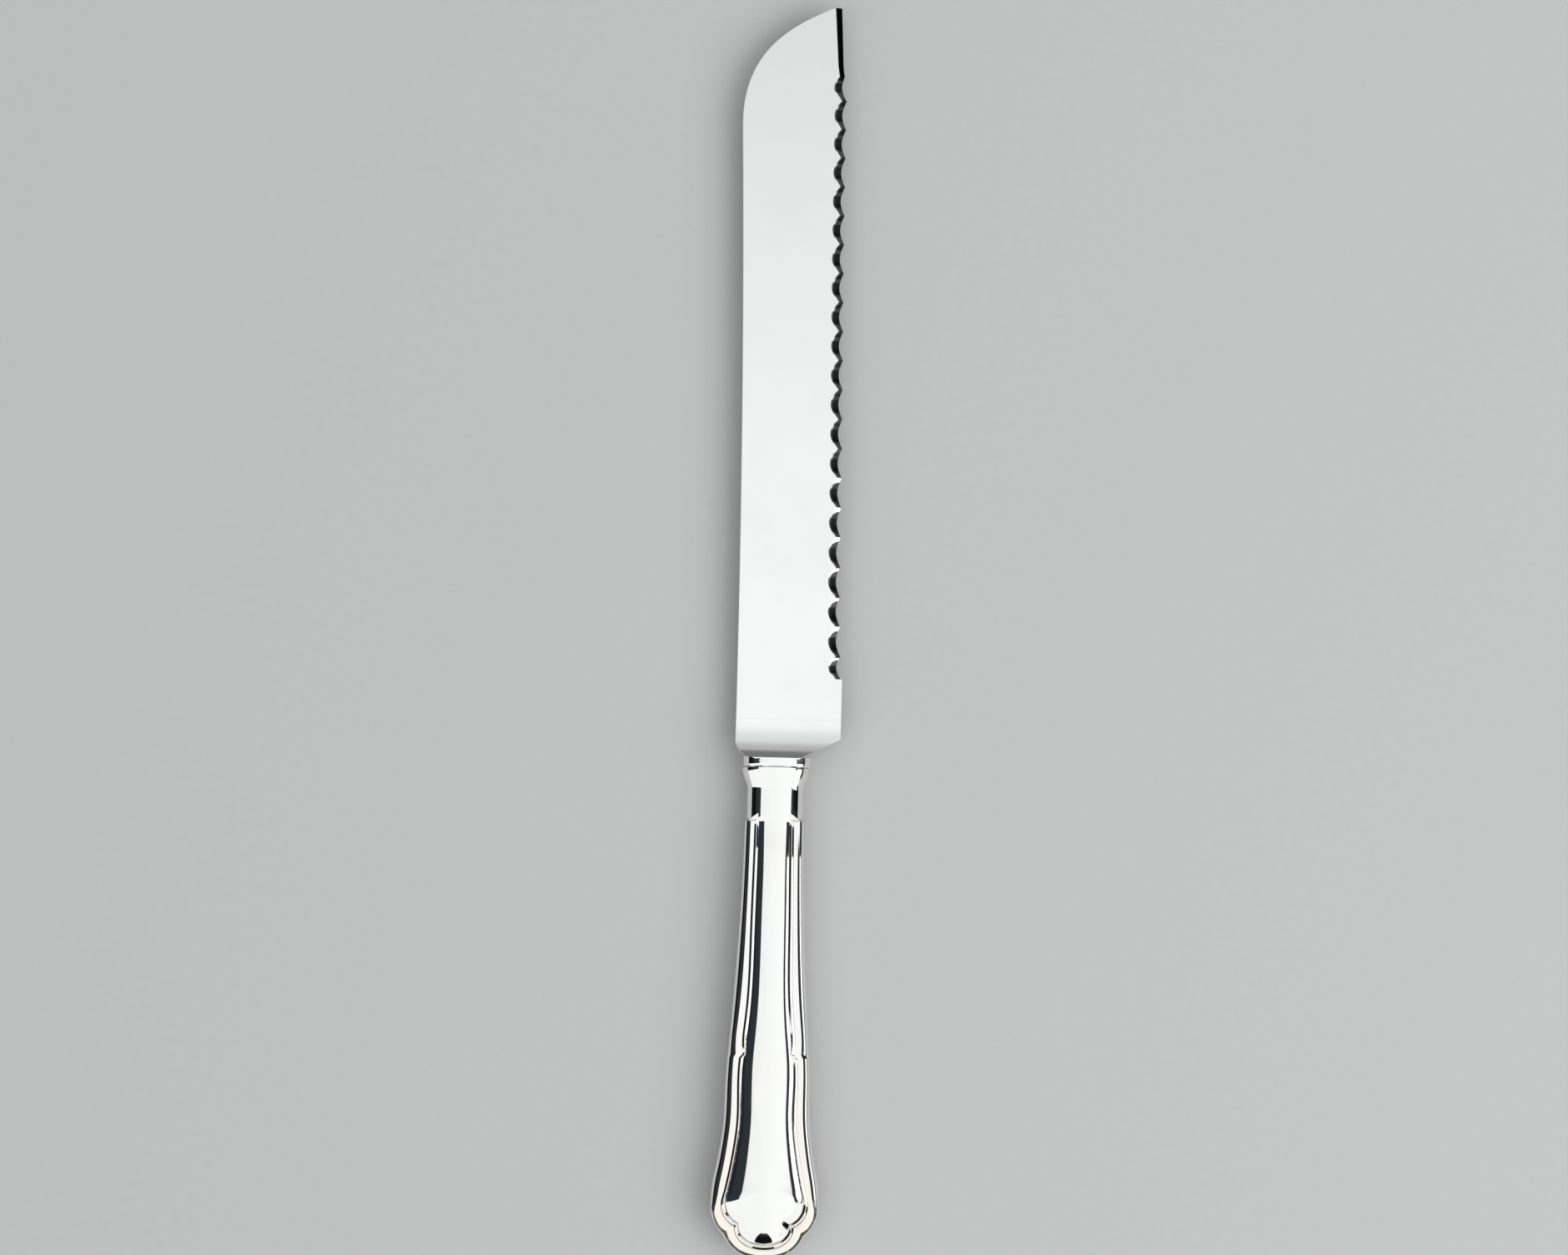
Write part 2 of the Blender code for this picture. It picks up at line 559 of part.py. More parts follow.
def place_at_origin(objects):
    """Moves everything alike, so that the knife's box stands on Z = 0 with its middle over the origin."""
    bpy.context.view_layer.update()
    graph = bpy.context.evaluated_depsgraph_get()
    corners = []
    for obj in objects:
        evaluated = obj.evaluated_get(graph)
        mesh = evaluated.to_mesh()
        points = np.empty(len(mesh.vertices) * 3)
        mesh.vertices.foreach_get("co", points)
        points = points.reshape(-1, 3)
        corners += [points.min(axis=0), points.max(axis=0)]
        evaluated.to_mesh_clear()
    low = np.min(corners, axis=0)
    high = np.max(corners, axis=0)
    middle = (low + high) / 2
    knife = bpy.data.objects.new("knife", None)
    bpy.context.scene.collection.objects.link(knife)
    for obj in bpy.data.objects:
        if obj.type != "EMPTY":
            obj.parent = knife
    knife.location = (-middle[0], -middle[1], -low[2])


def main():
    clear_scene()
    parts, cutters = make_collections()
    steel = make_material("stainless_steel", (0.55, 0.56, 0.57), 0.12, 1.0)
    silver = make_material("silver", (0.86, 0.84, 0.79), 0.1, 1.0)
    solder = make_material("solder", (0.5, 0.5, 0.5), 0.45, 1.0)
    cement = make_material("cement", (0.35, 0.3, 0.24), 0.9, 0.0)
    objects = [
        make_blade(parts, cutters, steel),
        make_shell("handle_front_shell", 1, parts, cutters, silver),
        make_shell("handle_back_shell", -1, parts, cutters, silver),
        make_solder(parts, solder),
        make_filling(parts, cutters, cement),
    ]
    place_at_origin(objects)


main()
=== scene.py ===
"""Panettone knife, finished: a scalloped steel blade in a stamped silver handle, lying on a pale table.

Shapes are worked out in millimetres from the handle's axis (x), the pommel's end (place) and the seam
(height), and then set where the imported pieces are.
"""

import bmesh
import bpy
import numpy as np
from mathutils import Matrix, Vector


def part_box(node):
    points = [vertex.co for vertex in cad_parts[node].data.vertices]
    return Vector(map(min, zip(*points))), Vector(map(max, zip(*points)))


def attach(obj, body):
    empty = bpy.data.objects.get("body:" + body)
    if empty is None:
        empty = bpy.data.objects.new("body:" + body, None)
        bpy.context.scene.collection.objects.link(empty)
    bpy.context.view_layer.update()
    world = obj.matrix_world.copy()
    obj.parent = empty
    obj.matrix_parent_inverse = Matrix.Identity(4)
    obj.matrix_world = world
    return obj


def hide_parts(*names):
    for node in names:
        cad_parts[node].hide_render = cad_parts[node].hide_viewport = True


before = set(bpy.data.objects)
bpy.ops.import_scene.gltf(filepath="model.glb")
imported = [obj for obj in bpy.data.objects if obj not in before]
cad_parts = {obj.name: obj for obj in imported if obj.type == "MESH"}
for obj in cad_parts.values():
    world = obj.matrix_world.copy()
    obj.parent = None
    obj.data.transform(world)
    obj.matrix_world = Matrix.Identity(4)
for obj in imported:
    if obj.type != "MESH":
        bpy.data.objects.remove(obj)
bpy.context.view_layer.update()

MM = 0.001

# Handle in plan: half widths and insets by distance from the pommel's end
BODY_LENGTH = 112.0
POMMEL_TOP = 13.3
POMMEL_HALF_WIDTH = 13.85
SEAM_STATIONS = [
    (POMMEL_TOP, POMMEL_HALF_WIDTH), (18.9, 13.55), (24.0, 12.6), (29.1, 11.74), (35.5, 11.04),
    (44.5, 10.84), (52.1, 10.4), (57.3, 10.0), (70.0, 9.15), (84.0, 8.35), (98.0, 7.8), (112.0, 7.5),
]
BORDER_INSETS = [
    (POMMEL_TOP, 1.25), (15.5, 1.66), (18.9, 1.93), (26.0, 1.87), (35.5, 1.8), (44.5, 1.75),
    (50.0, 1.6), (57.3, 1.67), (67.0, 1.93), (77.0, 1.89), (88.0, 1.69), (112.0, 1.47),
]
THREAD_INSETS = [
    (POMMEL_TOP, 2.1), (15.0, 1.7), (16.8, 1.85), (23.2, 2.13), (33.8, 2.17), (44.5, 1.94),
    (50.0, 1.95), (57.3, 2.16), (70.0, 2.08), (83.0, 1.73), (96.0, 1.58), (112.0, 1.55),
]
WAIST_PLACE = 52.7
WAIST_NOTCH_DEPTH = 0.43
THREAD_NOTCH_DEPTH = WAIST_NOTCH_DEPTH + 0.4
WAIST_NOTCH_STEP = 1.3
WAIST_NOTCH_TAIL = 6.0
# Pommel in plan: each line's two pulls and end round the lobe, and then over the end to the axis
POMMEL_SEAM = ((13.85, 10.8), (12.3, 8.3), (10.55, 6.0)), ((8.2, 2.4), (6.0, 0.0), (0.0, 0.0))
POMMEL_BORDER = ((12.95, 11.3), (11.9, 8.2), (9.46, 7.26)), ((8.6, 3.6), (5.3, 1.24), (0.0, 1.24))
POMMEL_THREAD = ((10.2, 11.4), (8.83, 9.78), (7.11, 8.97)), ((7.3, 5.6), (4.2, 3.33), (0.0, 3.33))
POMMEL_FOCUS = 13.0
LOBE_FOCUS = 14.2
DOME_END = 18.4
DOME_END_FADE = 25.5
POMMEL_FADE = (POMMEL_TOP + 5, POMMEL_TOP - 1)
# Sections along the handle: just below the shoulder, then on each stretch down to the pommel's end
FIRST_SPACING = 0.15
FIRST_SECTIONS = 4
SHANK_SECTIONS = 64
NOTCH_SECTIONS = 24
STEP_SECTIONS = 12
HIP_SECTIONS = 50
LOBE_SECTIONS = 44

# Handle in section: heights above the seam, tilts in degrees
VALLEY_HEIGHT = 4.05
EDGE_TILT = 28.5
EDGE_SHARE = 0.64
CHAMFER_TILT = 27.0
BORDER_SLOPE = 0.456
BORDER_SLOPE_FADE = 0.12
BORDER_CROWN = 0.08
THREAD_RELIEF = 0.34
THREAD_CREST = 0.06
THREAD_OUTER_WIDTH = 0.6
THREAD_INNER_WIDTH = 0.58
THREAD_FLANK_CURVE = 0.2
THREAD_START_FADE = 1.2
DOME_RISE_SHARE = 0.33
POMMEL_EDGE_WIDTH = 0.7
POMMEL_SMOOTHING = 7
SEAM_LIP = 0.04
SHELL_WALL = 0.5
HANDLE_SHARP_ANGLE = 32

# Neck, cup and shoulder
MOUTH = 125.6
CUP_LENGTH = 5.2
CUP_CURVE = 1.2
NECK_HALF_WIDTH = 7.2
NECK_HALF_HEIGHT = 5.0
RIM_HALF_WIDTH = 8.65
RIM_HALF_HEIGHT = 5.8
RIM_ROUNDING = 0.15
MOUTH_BOW = 0.4
SHOULDER_STEP = 0.3
SHOULDER_SINK = 0.066
SHOULDER_SINK_FADE = 7.0
SHOULDER_ARCH = 2.7
ARCH_END_SHARE = 0.88
COLLAR_HEIGHT = 4.05
COLLAR_ROUNDING = 0.12
COLLAR_ROUNDING_START = 0.93
COLLAR_BLEND = 0.3
COLLAR_BLEND_GAIN = 0.4
COLLAR_CLEARANCE = (0.02, 0.6)

# Tarnish left on the silver, from 0 to 1
SEAM_PATINA = 0.8
WALL_PATINA = 0.25
GROOVE_PATINA = 0.45
RIM_PATINA = 0.6
# Slopes from level, in radians, over which the rounded edge's tarnish changes
WALL_PATINA_SLOPES = (1.1, 1.5)
CHAMFER_PATINA_SLOPES = (0.8, 0.65)
# Shares of the neck's half width over which the tarnish at its foot comes in
NECK_PATINA_SHARES = (0.55, 0.8)
# Distances from the pommel's end over which painted shade, in the tarnish colour, inside the thread comes
# and goes
HIP_PAINTED_SHADE_START = (13.5, 17.0)
HIP_PAINTED_SHADE_END = (50.0, 38.0)

# Blade, by distance from its heel's end
BOLSTER_LENGTH = 2.5
MOUTH_GAP = 0.25
HEEL = MOUTH + MOUTH_GAP + BOLSTER_LENGTH
BLADE_LENGTH = 192.0
BLADE_HALF_THICKNESS = 0.75
SPINE_OFFSET = 10.57
EDGE_OFFSET = 15.44
HEEL_EDGE_OFFSET = 16.48
HEEL_CORNER_RADIUS = 4.4
HEEL_FLAT_HALF_WIDTH = 6.5
HEEL_CHAMFER_LENGTH = 4.85
RAMP_LENGTH = 9.8
RAMP_STRAIGHT_SHARE = 0.22
CREASE_WIDTH = 0.04
ARRIS = 0.13
ARRIS_GROWTH = 0.02
SWEEP_START = 23.0
SWEEP_RADIUS = 4300.0
BLADE_SHARP_ANGLE = 14
# Scallops and their bevel
UNSERRATED_LENGTH = 20.25
FIRST_POINT = 26.0
FIRST_PITCH = 7.684
PITCH_FALL = 0.01066
SERRATION_END = 174.4
SCALLOP_COUNT = 21
SCALLOP_SECTIONS = 18
SCALLOP_FACE_DEPTH = 1.75
SCALLOP_EDGE_DEPTH = 1.05
BEVEL_WIDTH = 1.3
BEVEL_DROP = 1.02
BACK_BEVEL_WIDTH = 0.3
BACK_STEP = 0.01
EDGE_HOLLOW = 0.28
EDGE_HEEL_REACH = 55.0
EDGE_HEEL_GAIN = 0.00066
EDGE_TIP_REACH = 105.0
EDGE_TIP_GAIN = 0.000246
EDGE_TIP_FADE = (178.0, 168.0)
# Painted highlight: scallops near the heel keep a bright flank on the point's side, left out of the
# bevel's dark colour
PAINTED_HIGHLIGHT_FLANK = (0.8, 0.86)
PAINTED_HIGHLIGHT_FADE = (78.0, 73.0)
# Point
TIP_CURVE_LENGTH = 31.0
TIP_CURVE_PULL = 11.3
SPINE_CURVE_PULL = 20.0
TIP_CURVE_HEADING = 23.0
TIP_EDGE_SLANT = 0.2
TIP_BEVEL_GAIN = 0.35
# Bolster, plug and tang
BOLSTER_FLARE = 0.04
BOLSTER_SHIFT = 0.25
BOLSTER_ROUNDING = 0.15
BOLSTER_ROUNDING_SECTIONS = 5
BOLSTER_SECTIONS = 14
PLUG_LENGTH = 7.0
PLUG_INSET = 0.8
TANG_LENGTH = 92.0
TANG_OVERLAP = 1.0
TANG_RADII = (2.6, 1.6)
HIDDEN_HEEL_DEPTH = 0.6
HIDDEN_HEEL_SCALE = (0.8, 1, 0.7)

# Finishes
SILVER = (0.925, 0.93, 0.9, 1)
DULLED_SILVER = (0.9, 0.88, 0.83, 1)
# Painted warm reflection: the border's silver is warmer than the rest, warmest on the pommel.
BORDER_SILVER_PAINTED_WARM = (0.95, 0.932, 0.9, 1)
POMMEL_BORDER_PAINTED_WARM = (0.95, 0.902, 0.82, 1)
# Painted shade: the tarnish colours also darken the thread's inner flank over the hip.
TARNISH_AND_SHADE = (0.04, 0.035, 0.03, 1)
POMMEL_TARNISH_AND_SHADE = (0.05, 0.032, 0.018, 1)
TARNISH_AND_SHADE_COVER = 0.93
STEEL = (0.925, 0.925, 0.918, 1)
CLOUDED_STEEL = (0.9, 0.9, 0.893, 1)
# Painted dark reflection: the bevel's steel is coloured near-black.
GROUND_PAINTED_DARK_STEEL = (0.045, 0.045, 0.045, 1)
SCRATCHED_PAINTED_DARK_STEEL = (0.1, 0.1, 0.1, 1)
SOLDER = (0.42, 0.42, 0.42, 1)
BRIGHT_SOLDER = (0.6, 0.6, 0.6, 1)
CEMENT = (0.27, 0.22, 0.16, 1)
PALE_CEMENT = (0.42, 0.37, 0.3, 1)
CEMENT_GRIT = (0.2, 0.16, 0.11, 1)
TABLE = (0.48, 0.48, 0.48, 1)
TABLE_SPECKLE = (0.52, 0.52, 0.52, 1)
# Frame's Y over which the border's painted warm reflection grows less warm, and the tarnish less brown,
# away from the pommel
PAINTED_WARM_BORDER_FADE = (-0.145, -0.09)
BROWN_TARNISH_FADE = (-0.146, -0.134)

# Studio, in metres but for the camera's turn in degrees, its lens in millimetres and the lamps' radiances.
# The camera's place in plan is measured from the frame's origin.
CAMERA_PLACE = (-0.000162, 0.00134)
CAMERA_HEIGHT = 1.046
CAMERA_TURN = 1.504
LENS = 93.83
TABLE_HALF_WIDTH = 15.0
# The card stands beside the handle on the edge's side and shows in the silver; the soft box doesn't
SIDE_CARD_PLACE = (0.257, -0.1258, 0.11)
SIDE_CARD_AIM = (0, -0.1258, 0.11)
SIDE_CARD_SIZE = (0.1285, 0.112)
SIDE_CARD_RADIANCE = 1.0
SOFT_BOX_PLACE = (1.1, -0.35, 1.25)
SOFT_BOX_AIM = (0, 0, 0)
SOFT_BOX_SIZE = (1.5, 1.5)
SOFT_BOX_RADIANCE = 1.5

# Studio's light by direction, in degrees. A change is given by where it starts and ends, and some by the
# levels there too. East is the edge's side, north the point's, and a bearing turns from east to north.
STRIP_MIDDLE = 4.5
STRIP_EDGE = (47.0, 49.0)
STRIP_LEAN = (-50.0, 50.0, 0.95, 1.05)
STRIP_FALL = (-1.0, 16.0, 0.98, 0.56)
STRIP_RECOVERY = (9.0, 11.5, 0.0, 0.975)
STRIP_FADES = ((23.0, 58.0, 0.75), (57.0, 69.0, 0.66), (72.5, 75.5, 0.36))
SOUTH_START = (-3.0, 0.0)
SOUTH_EAST_LIMIT = (-13.0, -9.0)
SOUTH_WEST_LIMIT = (-169.5, -167.0)
SOUTH_LEVEL = 0.98
SOUTH_END_BESIDE = (10.0, 15.0, 56.0, 78.0)
SOUTH_END_AT_SIDES = (52.0, 60.0, 0.0, 20.0)
SOUTH_END_BLUR = 1.5
LOW_EAST_BEARING = (-30.0, -22.0)
LOW_EAST_START = (62.0, 67.0)
FLASH_BEARING = ((27.0, 31.0), (44.0, 48.0))
FLASH_FROM_TOP = ((58.0, 62.0), (84.0, 88.0))
FLASH_LEVEL = 0.9
DARK_WALL = (0.026, 0.034, 0.042, 1)
LOW_DARK_WALL = (0.006, 0.006, 0.006, 1)
LOW_DARK_START = (58.0, 68.0)

front_low, front_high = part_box("handle_front_shell")
HANDLE_AXIS = (front_low.x + front_high.x) / 2
POMMEL_END = front_low.y
SEAM = front_low.z


def to_frame(points):
    """Turns (x, place, height) in millimetres into metres in the frame."""
    return points * MM + np.array([HANDLE_AXIS, POMMEL_END, SEAM])


def smoothstep(low, high, value):
    """0 below low, 1 above high, and a smooth cubic between them."""
    t = np.clip((value - low) / (high - low), 0, 1)
    return t * t * (3 - 2 * t)


def bezier(start, leave, arrive, end, t):
    """Cubic curve between two points of the plan, pulled towards the two in the middle."""
    t = t[:, None]
    rise = 3 * (1 - t) ** 2 * t * np.array(leave) + 3 * (1 - t) * t**2 * np.array(arrive)
    return (1 - t) ** 3 * np.array(start) + rise + t**3 * np.array(end)


def spline_through(stations, place):
    """Natural cubic spline through (place, value) stations, smooth in slope and curvature."""
    x, y = np.array(stations).T
    gap = np.diff(x)
    system = np.eye(len(x))
    load = np.zeros(len(x))
    inner = np.arange(1, len(x) - 1)
    system[inner, inner - 1] = gap[:-1]
    system[inner, inner] = 2 * (gap[:-1] + gap[1:])
    system[inner, inner + 1] = gap[1:]
    load[inner] = 6 * np.diff(np.diff(y) / gap)
    bend = np.linalg.solve(system, load)
    left = np.clip(np.searchsorted(x, place) - 1, 0, len(x) - 2)
    width = gap[left]
    after = place - x[left]
    before = x[left + 1] - place
    cubic = (bend[left] * before**3 + bend[left + 1] * after**3) / (6 * width)
    start = (y[left] / width - bend[left] * width / 6) * before
    return cubic + start + (y[left + 1] / width - bend[left + 1] * width / 6) * after


def new_mesh(name, points, faces, masks):
    """A mesh in the frame from points in millimetres, welded, with its faces turned outwards."""
    mesh = bpy.data.meshes.new(name)
    mesh.from_pydata(to_frame(points).tolist(), [], faces)
    for mask, values in masks.items():
        mesh.attributes.new(mask, "FLOAT", "POINT").data.foreach_set("value", values.astype(np.float32))
    form = bmesh.new()
    form.from_mesh(mesh)
    bmesh.ops.remove_doubles(form, verts=form.verts, dist=1e-7)
    bmesh.ops.dissolve_degenerate(form, edges=form.edges, dist=1e-7)
    bmesh.ops.recalc_face_normals(form, faces=form.faces)
    form.to_mesh(mesh)
    form.free()
    return mesh


def repaint(node, material):
    """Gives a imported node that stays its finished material."""
    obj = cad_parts[node]
    obj.data.materials.clear()
    obj.data.materials.append(material)


def add_piece(mesh, slot, material, sharp_angle, *nodes):
    """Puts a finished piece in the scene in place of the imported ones, smooth but for its sharp edges."""
    mesh.materials.append(material)
    mesh.shade_smooth()
    mesh.set_sharp_from_angle(angle=np.radians(sharp_angle))
    piece = bpy.data.objects.new(mesh.name, mesh)
    bpy.context.scene.collection.objects.link(piece)
    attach(piece, "root")
    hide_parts(*nodes)


def ring_faces(rows, columns):
    """The quads of a grid of rings stored ring by ring, whose last column joins the first."""
    row, column = np.meshgrid(np.arange(rows - 1), np.arange(columns), indexing="ij")
    following = (column + 1) % columns
    corners = [row * columns + column, row * columns + following]
    corners += [(row + 1) * columns + following, (row + 1) * columns + column]
    return np.stack(corners, axis=-1).reshape(-1, 4).tolist()


def waist_notch(place):
    """The border's bracket at the waist, from 0 to 1: steep below and drawn out up the shank."""
    steep = smoothstep(WAIST_PLACE - WAIST_NOTCH_STEP, WAIST_PLACE, place)
    drawn_out = np.clip((place - WAIST_PLACE) / WAIST_NOTCH_TAIL, 0, 1)
    return steep * (1 - drawn_out) ** 2


def handle_places():
    """Distances from the pommel's end, from the shoulder to the pommel, closest at the waist's notch."""
    tail_end = WAIST_PLACE + WAIST_NOTCH_TAIL
    step_end = WAIST_PLACE - WAIST_NOTCH_STEP
    start = BODY_LENGTH - FIRST_SPACING * np.arange(1, FIRST_SECTIONS + 1)
    shank = np.linspace(BODY_LENGTH, tail_end, SHANK_SECTIONS, endpoint=False)
    notch = np.linspace(tail_end, WAIST_PLACE, NOTCH_SECTIONS, endpoint=False)
    step = np.linspace(WAIST_PLACE, step_end, STEP_SECTIONS, endpoint=False)
    hip = np.linspace(step_end, POMMEL_TOP, HIP_SECTIONS)
    return np.concatenate([shank[:1], start, shank[1:], notch, step, hip])


def pommel_line(side, pattern):
    """Carries a side's line on round the pommel's lobe to its cusp, then round the end to the axis."""
    lobe, end = pattern
    along = np.linspace(0, 1, LOBE_SECTIONS)[1:]
    return np.concatenate([side, bezier(side[-1], *lobe, along), bezier(lobe[-1], *end, along)])


def axis_feet(place):
    """Where on the axis each section ends: beside it on the shank, and near two foci on the pommel."""
    near_end = np.clip((DOME_END_FADE - place) / (DOME_END_FADE - POMMEL_TOP), 0, 1)
    foot = place + near_end**2 * (DOME_END - POMMEL_TOP)
    along = np.linspace(0, 1, LOBE_SECTIONS)[1:]
    round_lobe = foot[-1] + (LOBE_FOCUS - foot[-1]) * along
    round_end = LOBE_FOCUS + (POMMEL_FOCUS - LOBE_FOCUS) * along
    return np.concatenate([foot, round_lobe, round_end])


def handle_plan():
    """The handle's lines from the shoulder round the pommel's end, each a row of (x, place) points.

    They are the seam, the border's outer edge, the thread's crest, and the foot on the axis that each
    section runs up to. The other arrays are, at each point, the waist's notch, the dome's half width, and
    a weight that is 1 on the pommel and 0 elsewhere.
    """
    place = handle_places()
    notch = waist_notch(place)
    seam = spline_through(SEAM_STATIONS, place)
    plain_border = seam - spline_through(BORDER_INSETS, place)
    plain_thread = plain_border - spline_through(THREAD_INSETS, place)
    border = plain_border - WAIST_NOTCH_DEPTH * notch
    thread = plain_thread - THREAD_NOTCH_DEPTH * notch
    lines = [np.stack([line, place], axis=-1) for line in (seam, border, thread)]
    patterns = (POMMEL_SEAM, POMMEL_BORDER, POMMEL_THREAD)
    lines = [pommel_line(line, pattern) for line, pattern in zip(lines, patterns)]
    foot = axis_feet(place)
    axis = np.stack([0 * foot, foot], axis=-1)
    notch = np.concatenate([notch, np.zeros(len(foot) - len(place))])
    thread_half = np.interp(np.maximum(foot, DOME_END), place[::-1], plain_thread[::-1])
    pommel = smoothstep(*POMMEL_FADE, lines[0][:, 1])
    return *lines, axis, notch, thread_half - THREAD_INNER_WIDTH, pommel


def evened_reach(reach, pommel):
    """A reach to the axis, evened on the pommel by a bell-shaped mean along the line, and nowhere less."""
    bell = np.exp(-(np.linspace(-2.5, 2.5, 5 * POMMEL_SMOOTHING) ** 2))
    mirrored = np.concatenate([reach, reach[-2::-1]])
    even = np.convolve(mirrored, bell / bell.sum(), "same")[: len(reach)]
    return reach + (np.maximum(even, reach) - reach) * pommel


class BodySection:
    """The handle's section at every place along it at once: each column is a line along the handle.

    From the seam it goes up an upright wall, round a circular edge and over a straight chamfer to the
    border's top. A groove, the thread's low ridge and the dome follow. Where the thread steps in at the
    waist, the higher of thread and dome shows.
    """

    def __init__(self):
        self.seam, self.border, self.thread, self.axis, notch, dome_half, self.pommel = handle_plan()
        self.columns = []
        self.fade = smoothstep(0, THREAD_START_FADE, BODY_LENGTH - self.seam[:, 1])
        to_axis = self.axis - self.thread
        self.reach = np.linalg.norm(to_axis, axis=-1)
        self.inwards = to_axis / self.reach[:, None]
        self.dome_reach = self.reach + THREAD_NOTCH_DEPTH * notch - THREAD_INNER_WIDTH
        self.dome_rise = DOME_RISE_SHARE * dome_half
        self.groove = self.thread - self.inwards * THREAD_OUTER_WIDTH
        self.groove_patina = GROOVE_PATINA + (1 - GROOVE_PATINA) * self.pommel
        self.width = np.linalg.norm(self.border - self.seam, axis=-1)
        self.top_width = np.linalg.norm(self.border - self.groove, axis=-1)
        crown_fall = BORDER_CROWN - BORDER_SLOPE * BORDER_SLOPE_FADE
        self.border_height = VALLEY_HEIGHT + crown_fall * self.top_width

    def add(self, plan, height, tarnish_and_shade=0.0, rim=0.0):
        """Adds a column of points with its two masks: tarnish, with painted shade on the thread's inner
        flank, and the border's warmer tint, a painted warm reflection.
        """
        fields = [np.broadcast_to(field, self.reach.shape) for field in (height, tarnish_and_shade, rim)]
        self.columns.append(np.column_stack([plan, *fields]))

    def from_seam(self, share):
        """The plan of a line so far in from the seam, as a share of the way to the border's outer edge."""
        return self.seam + (self.border - self.seam) * np.reshape(share, (-1, 1))

    def add_from_crest(self, distance, relief, tarnish_and_shade, rim):
        """Adds a column so far in from the thread's crest, no lower than the dome there."""
        dome = VALLEY_HEIGHT + self.dome_rise * (1 - ((self.reach - distance) / self.dome_reach) ** 2)
        height = np.maximum(VALLEY_HEIGHT + relief * self.fade, dome)
        self.add(self.thread + self.inwards * distance, height, tarnish_and_shade, rim)

    def add_wall(self):
        """An upright wall, an arc from upright to the edge's tilt, and a straight chamfer."""
        tilt = np.radians(EDGE_TILT)
        radius = EDGE_SHARE * self.width / (1 - np.sin(tilt))
        chamfer_rise = (1 - EDGE_SHARE) * self.width * np.tan(np.radians(CHAMFER_TILT))
        edge_height = self.border_height - chamfer_rise
        wall_top = edge_height - radius * np.cos(tilt)
        self.add(self.from_seam(SEAM_LIP / self.width), 0.0, SEAM_PATINA)
        for share, tarnish_and_shade in ((0.03, SEAM_PATINA), (0.1, 0.35), (0.5, WALL_PATINA)):
            self.add(self.seam, wall_top * share, tarnish_and_shade)
        for angle in np.linspace(np.pi / 2, tilt, 13):
            inwards = EDGE_SHARE * (1 - np.sin(angle)) / (1 - np.sin(tilt))
            near_wall = smoothstep(*WALL_PATINA_SLOPES, angle)
            near_chamfer = smoothstep(*CHAMFER_PATINA_SLOPES, angle)
            tarnish_and_shade = WALL_PATINA * near_wall + self.pommel * near_chamfer
            self.add(self.from_seam(inwards), wall_top + radius * np.cos(angle), tarnish_and_shade)
        for share in (0.08, 0.5, 0.92):
            height = edge_height + (self.border_height - edge_height) * share
            self.add(self.from_seam(EDGE_SHARE + (1 - EDGE_SHARE) * share), height, self.pommel, 0.5)

    def add_border(self):
        """The border's top: a slope that dies away exponentially, less a parabola to the groove."""
        for share in (0.0, 0.04, 0.09, 0.15, 0.23, 0.34, 0.5, 0.66, 0.8, 0.91, 1.0):
            slope = BORDER_SLOPE * BORDER_SLOPE_FADE * (1 - np.exp(-share / BORDER_SLOPE_FADE))
            height = self.border_height + self.top_width * (slope - BORDER_CROWN * share**2)
            plan = self.border + (self.groove - self.border) * share
            self.add(plan, height, self.groove_patina * smoothstep(0.9, 1.0, share), 1.0)

    def add_thread(self):
        """The thread's two flanks, nearly straight, on either side of a narrow crest."""
        crest_half = THREAD_CREST / 2
        straight = 1 - THREAD_FLANK_CURVE
        for share in (0.06, 0.15, 0.3, 0.5, 0.7, 0.85, 0.95, 1.0):
            relief = THREAD_RELIEF * (THREAD_FLANK_CURVE * smoothstep(0, 1, share) + straight * share)
            distance = -THREAD_OUTER_WIDTH + (THREAD_OUTER_WIDTH - crest_half) * share
            tarnish_and_shade = self.groove_patina * (1 - smoothstep(0.1, 0.4, share))
            self.add_from_crest(distance, relief, tarnish_and_shade, 1.0)
        # Painted shade: over the hip the thread's inner flank takes the tarnish colour, standing for a
        # dark reflection.
        hip = smoothstep(*HIP_PAINTED_SHADE_END, self.seam[:, 1]) * smoothstep(*HIP_PAINTED_SHADE_START, self.seam[:, 1])
        for share in (0.0, 0.05, 0.15, 0.3, 0.5, 0.7, 0.85, 0.94, 1.0):
            relief = THREAD_RELIEF * (1 - THREAD_FLANK_CURVE * smoothstep(0, 1, share) - straight * share)
            distance = crest_half + (THREAD_INNER_WIDTH - crest_half) * share
            at_foot = self.groove_patina * smoothstep(0.8, 1.0, share)
            tarnish_and_shade = np.maximum(at_foot, hip * smoothstep(0.15, 0.5, share))
            self.add_from_crest(distance, relief, tarnish_and_shade, 1 - share)

    def add_dome(self):
        """The dome: a parabola to the axis, eased down to its edge exponentially on the pommel."""
        reach = evened_reach(self.dome_reach, self.pommel)
        for across in (0.02, 0.05, 0.1, 0.17, 0.25, 0.34, 0.44, 0.54, 0.64, 0.74, 0.83, 0.92, 1.0):
            distance = THREAD_INNER_WIDTH + (self.reach - THREAD_INNER_WIDTH) * across
            easing = 1 - self.pommel * np.exp(-(distance - THREAD_INNER_WIDTH) / POMMEL_EDGE_WIDTH)
            parabola = self.dome_rise * (1 - ((self.reach - distance) / reach) ** 2)
            plan = self.thread + self.inwards * distance[:, None]
            tarnish_and_shade = self.groove_patina * (1 - smoothstep(0, 0.04, across))
            self.add(plan, VALLEY_HEIGHT + parabola * easing, tarnish_and_shade)


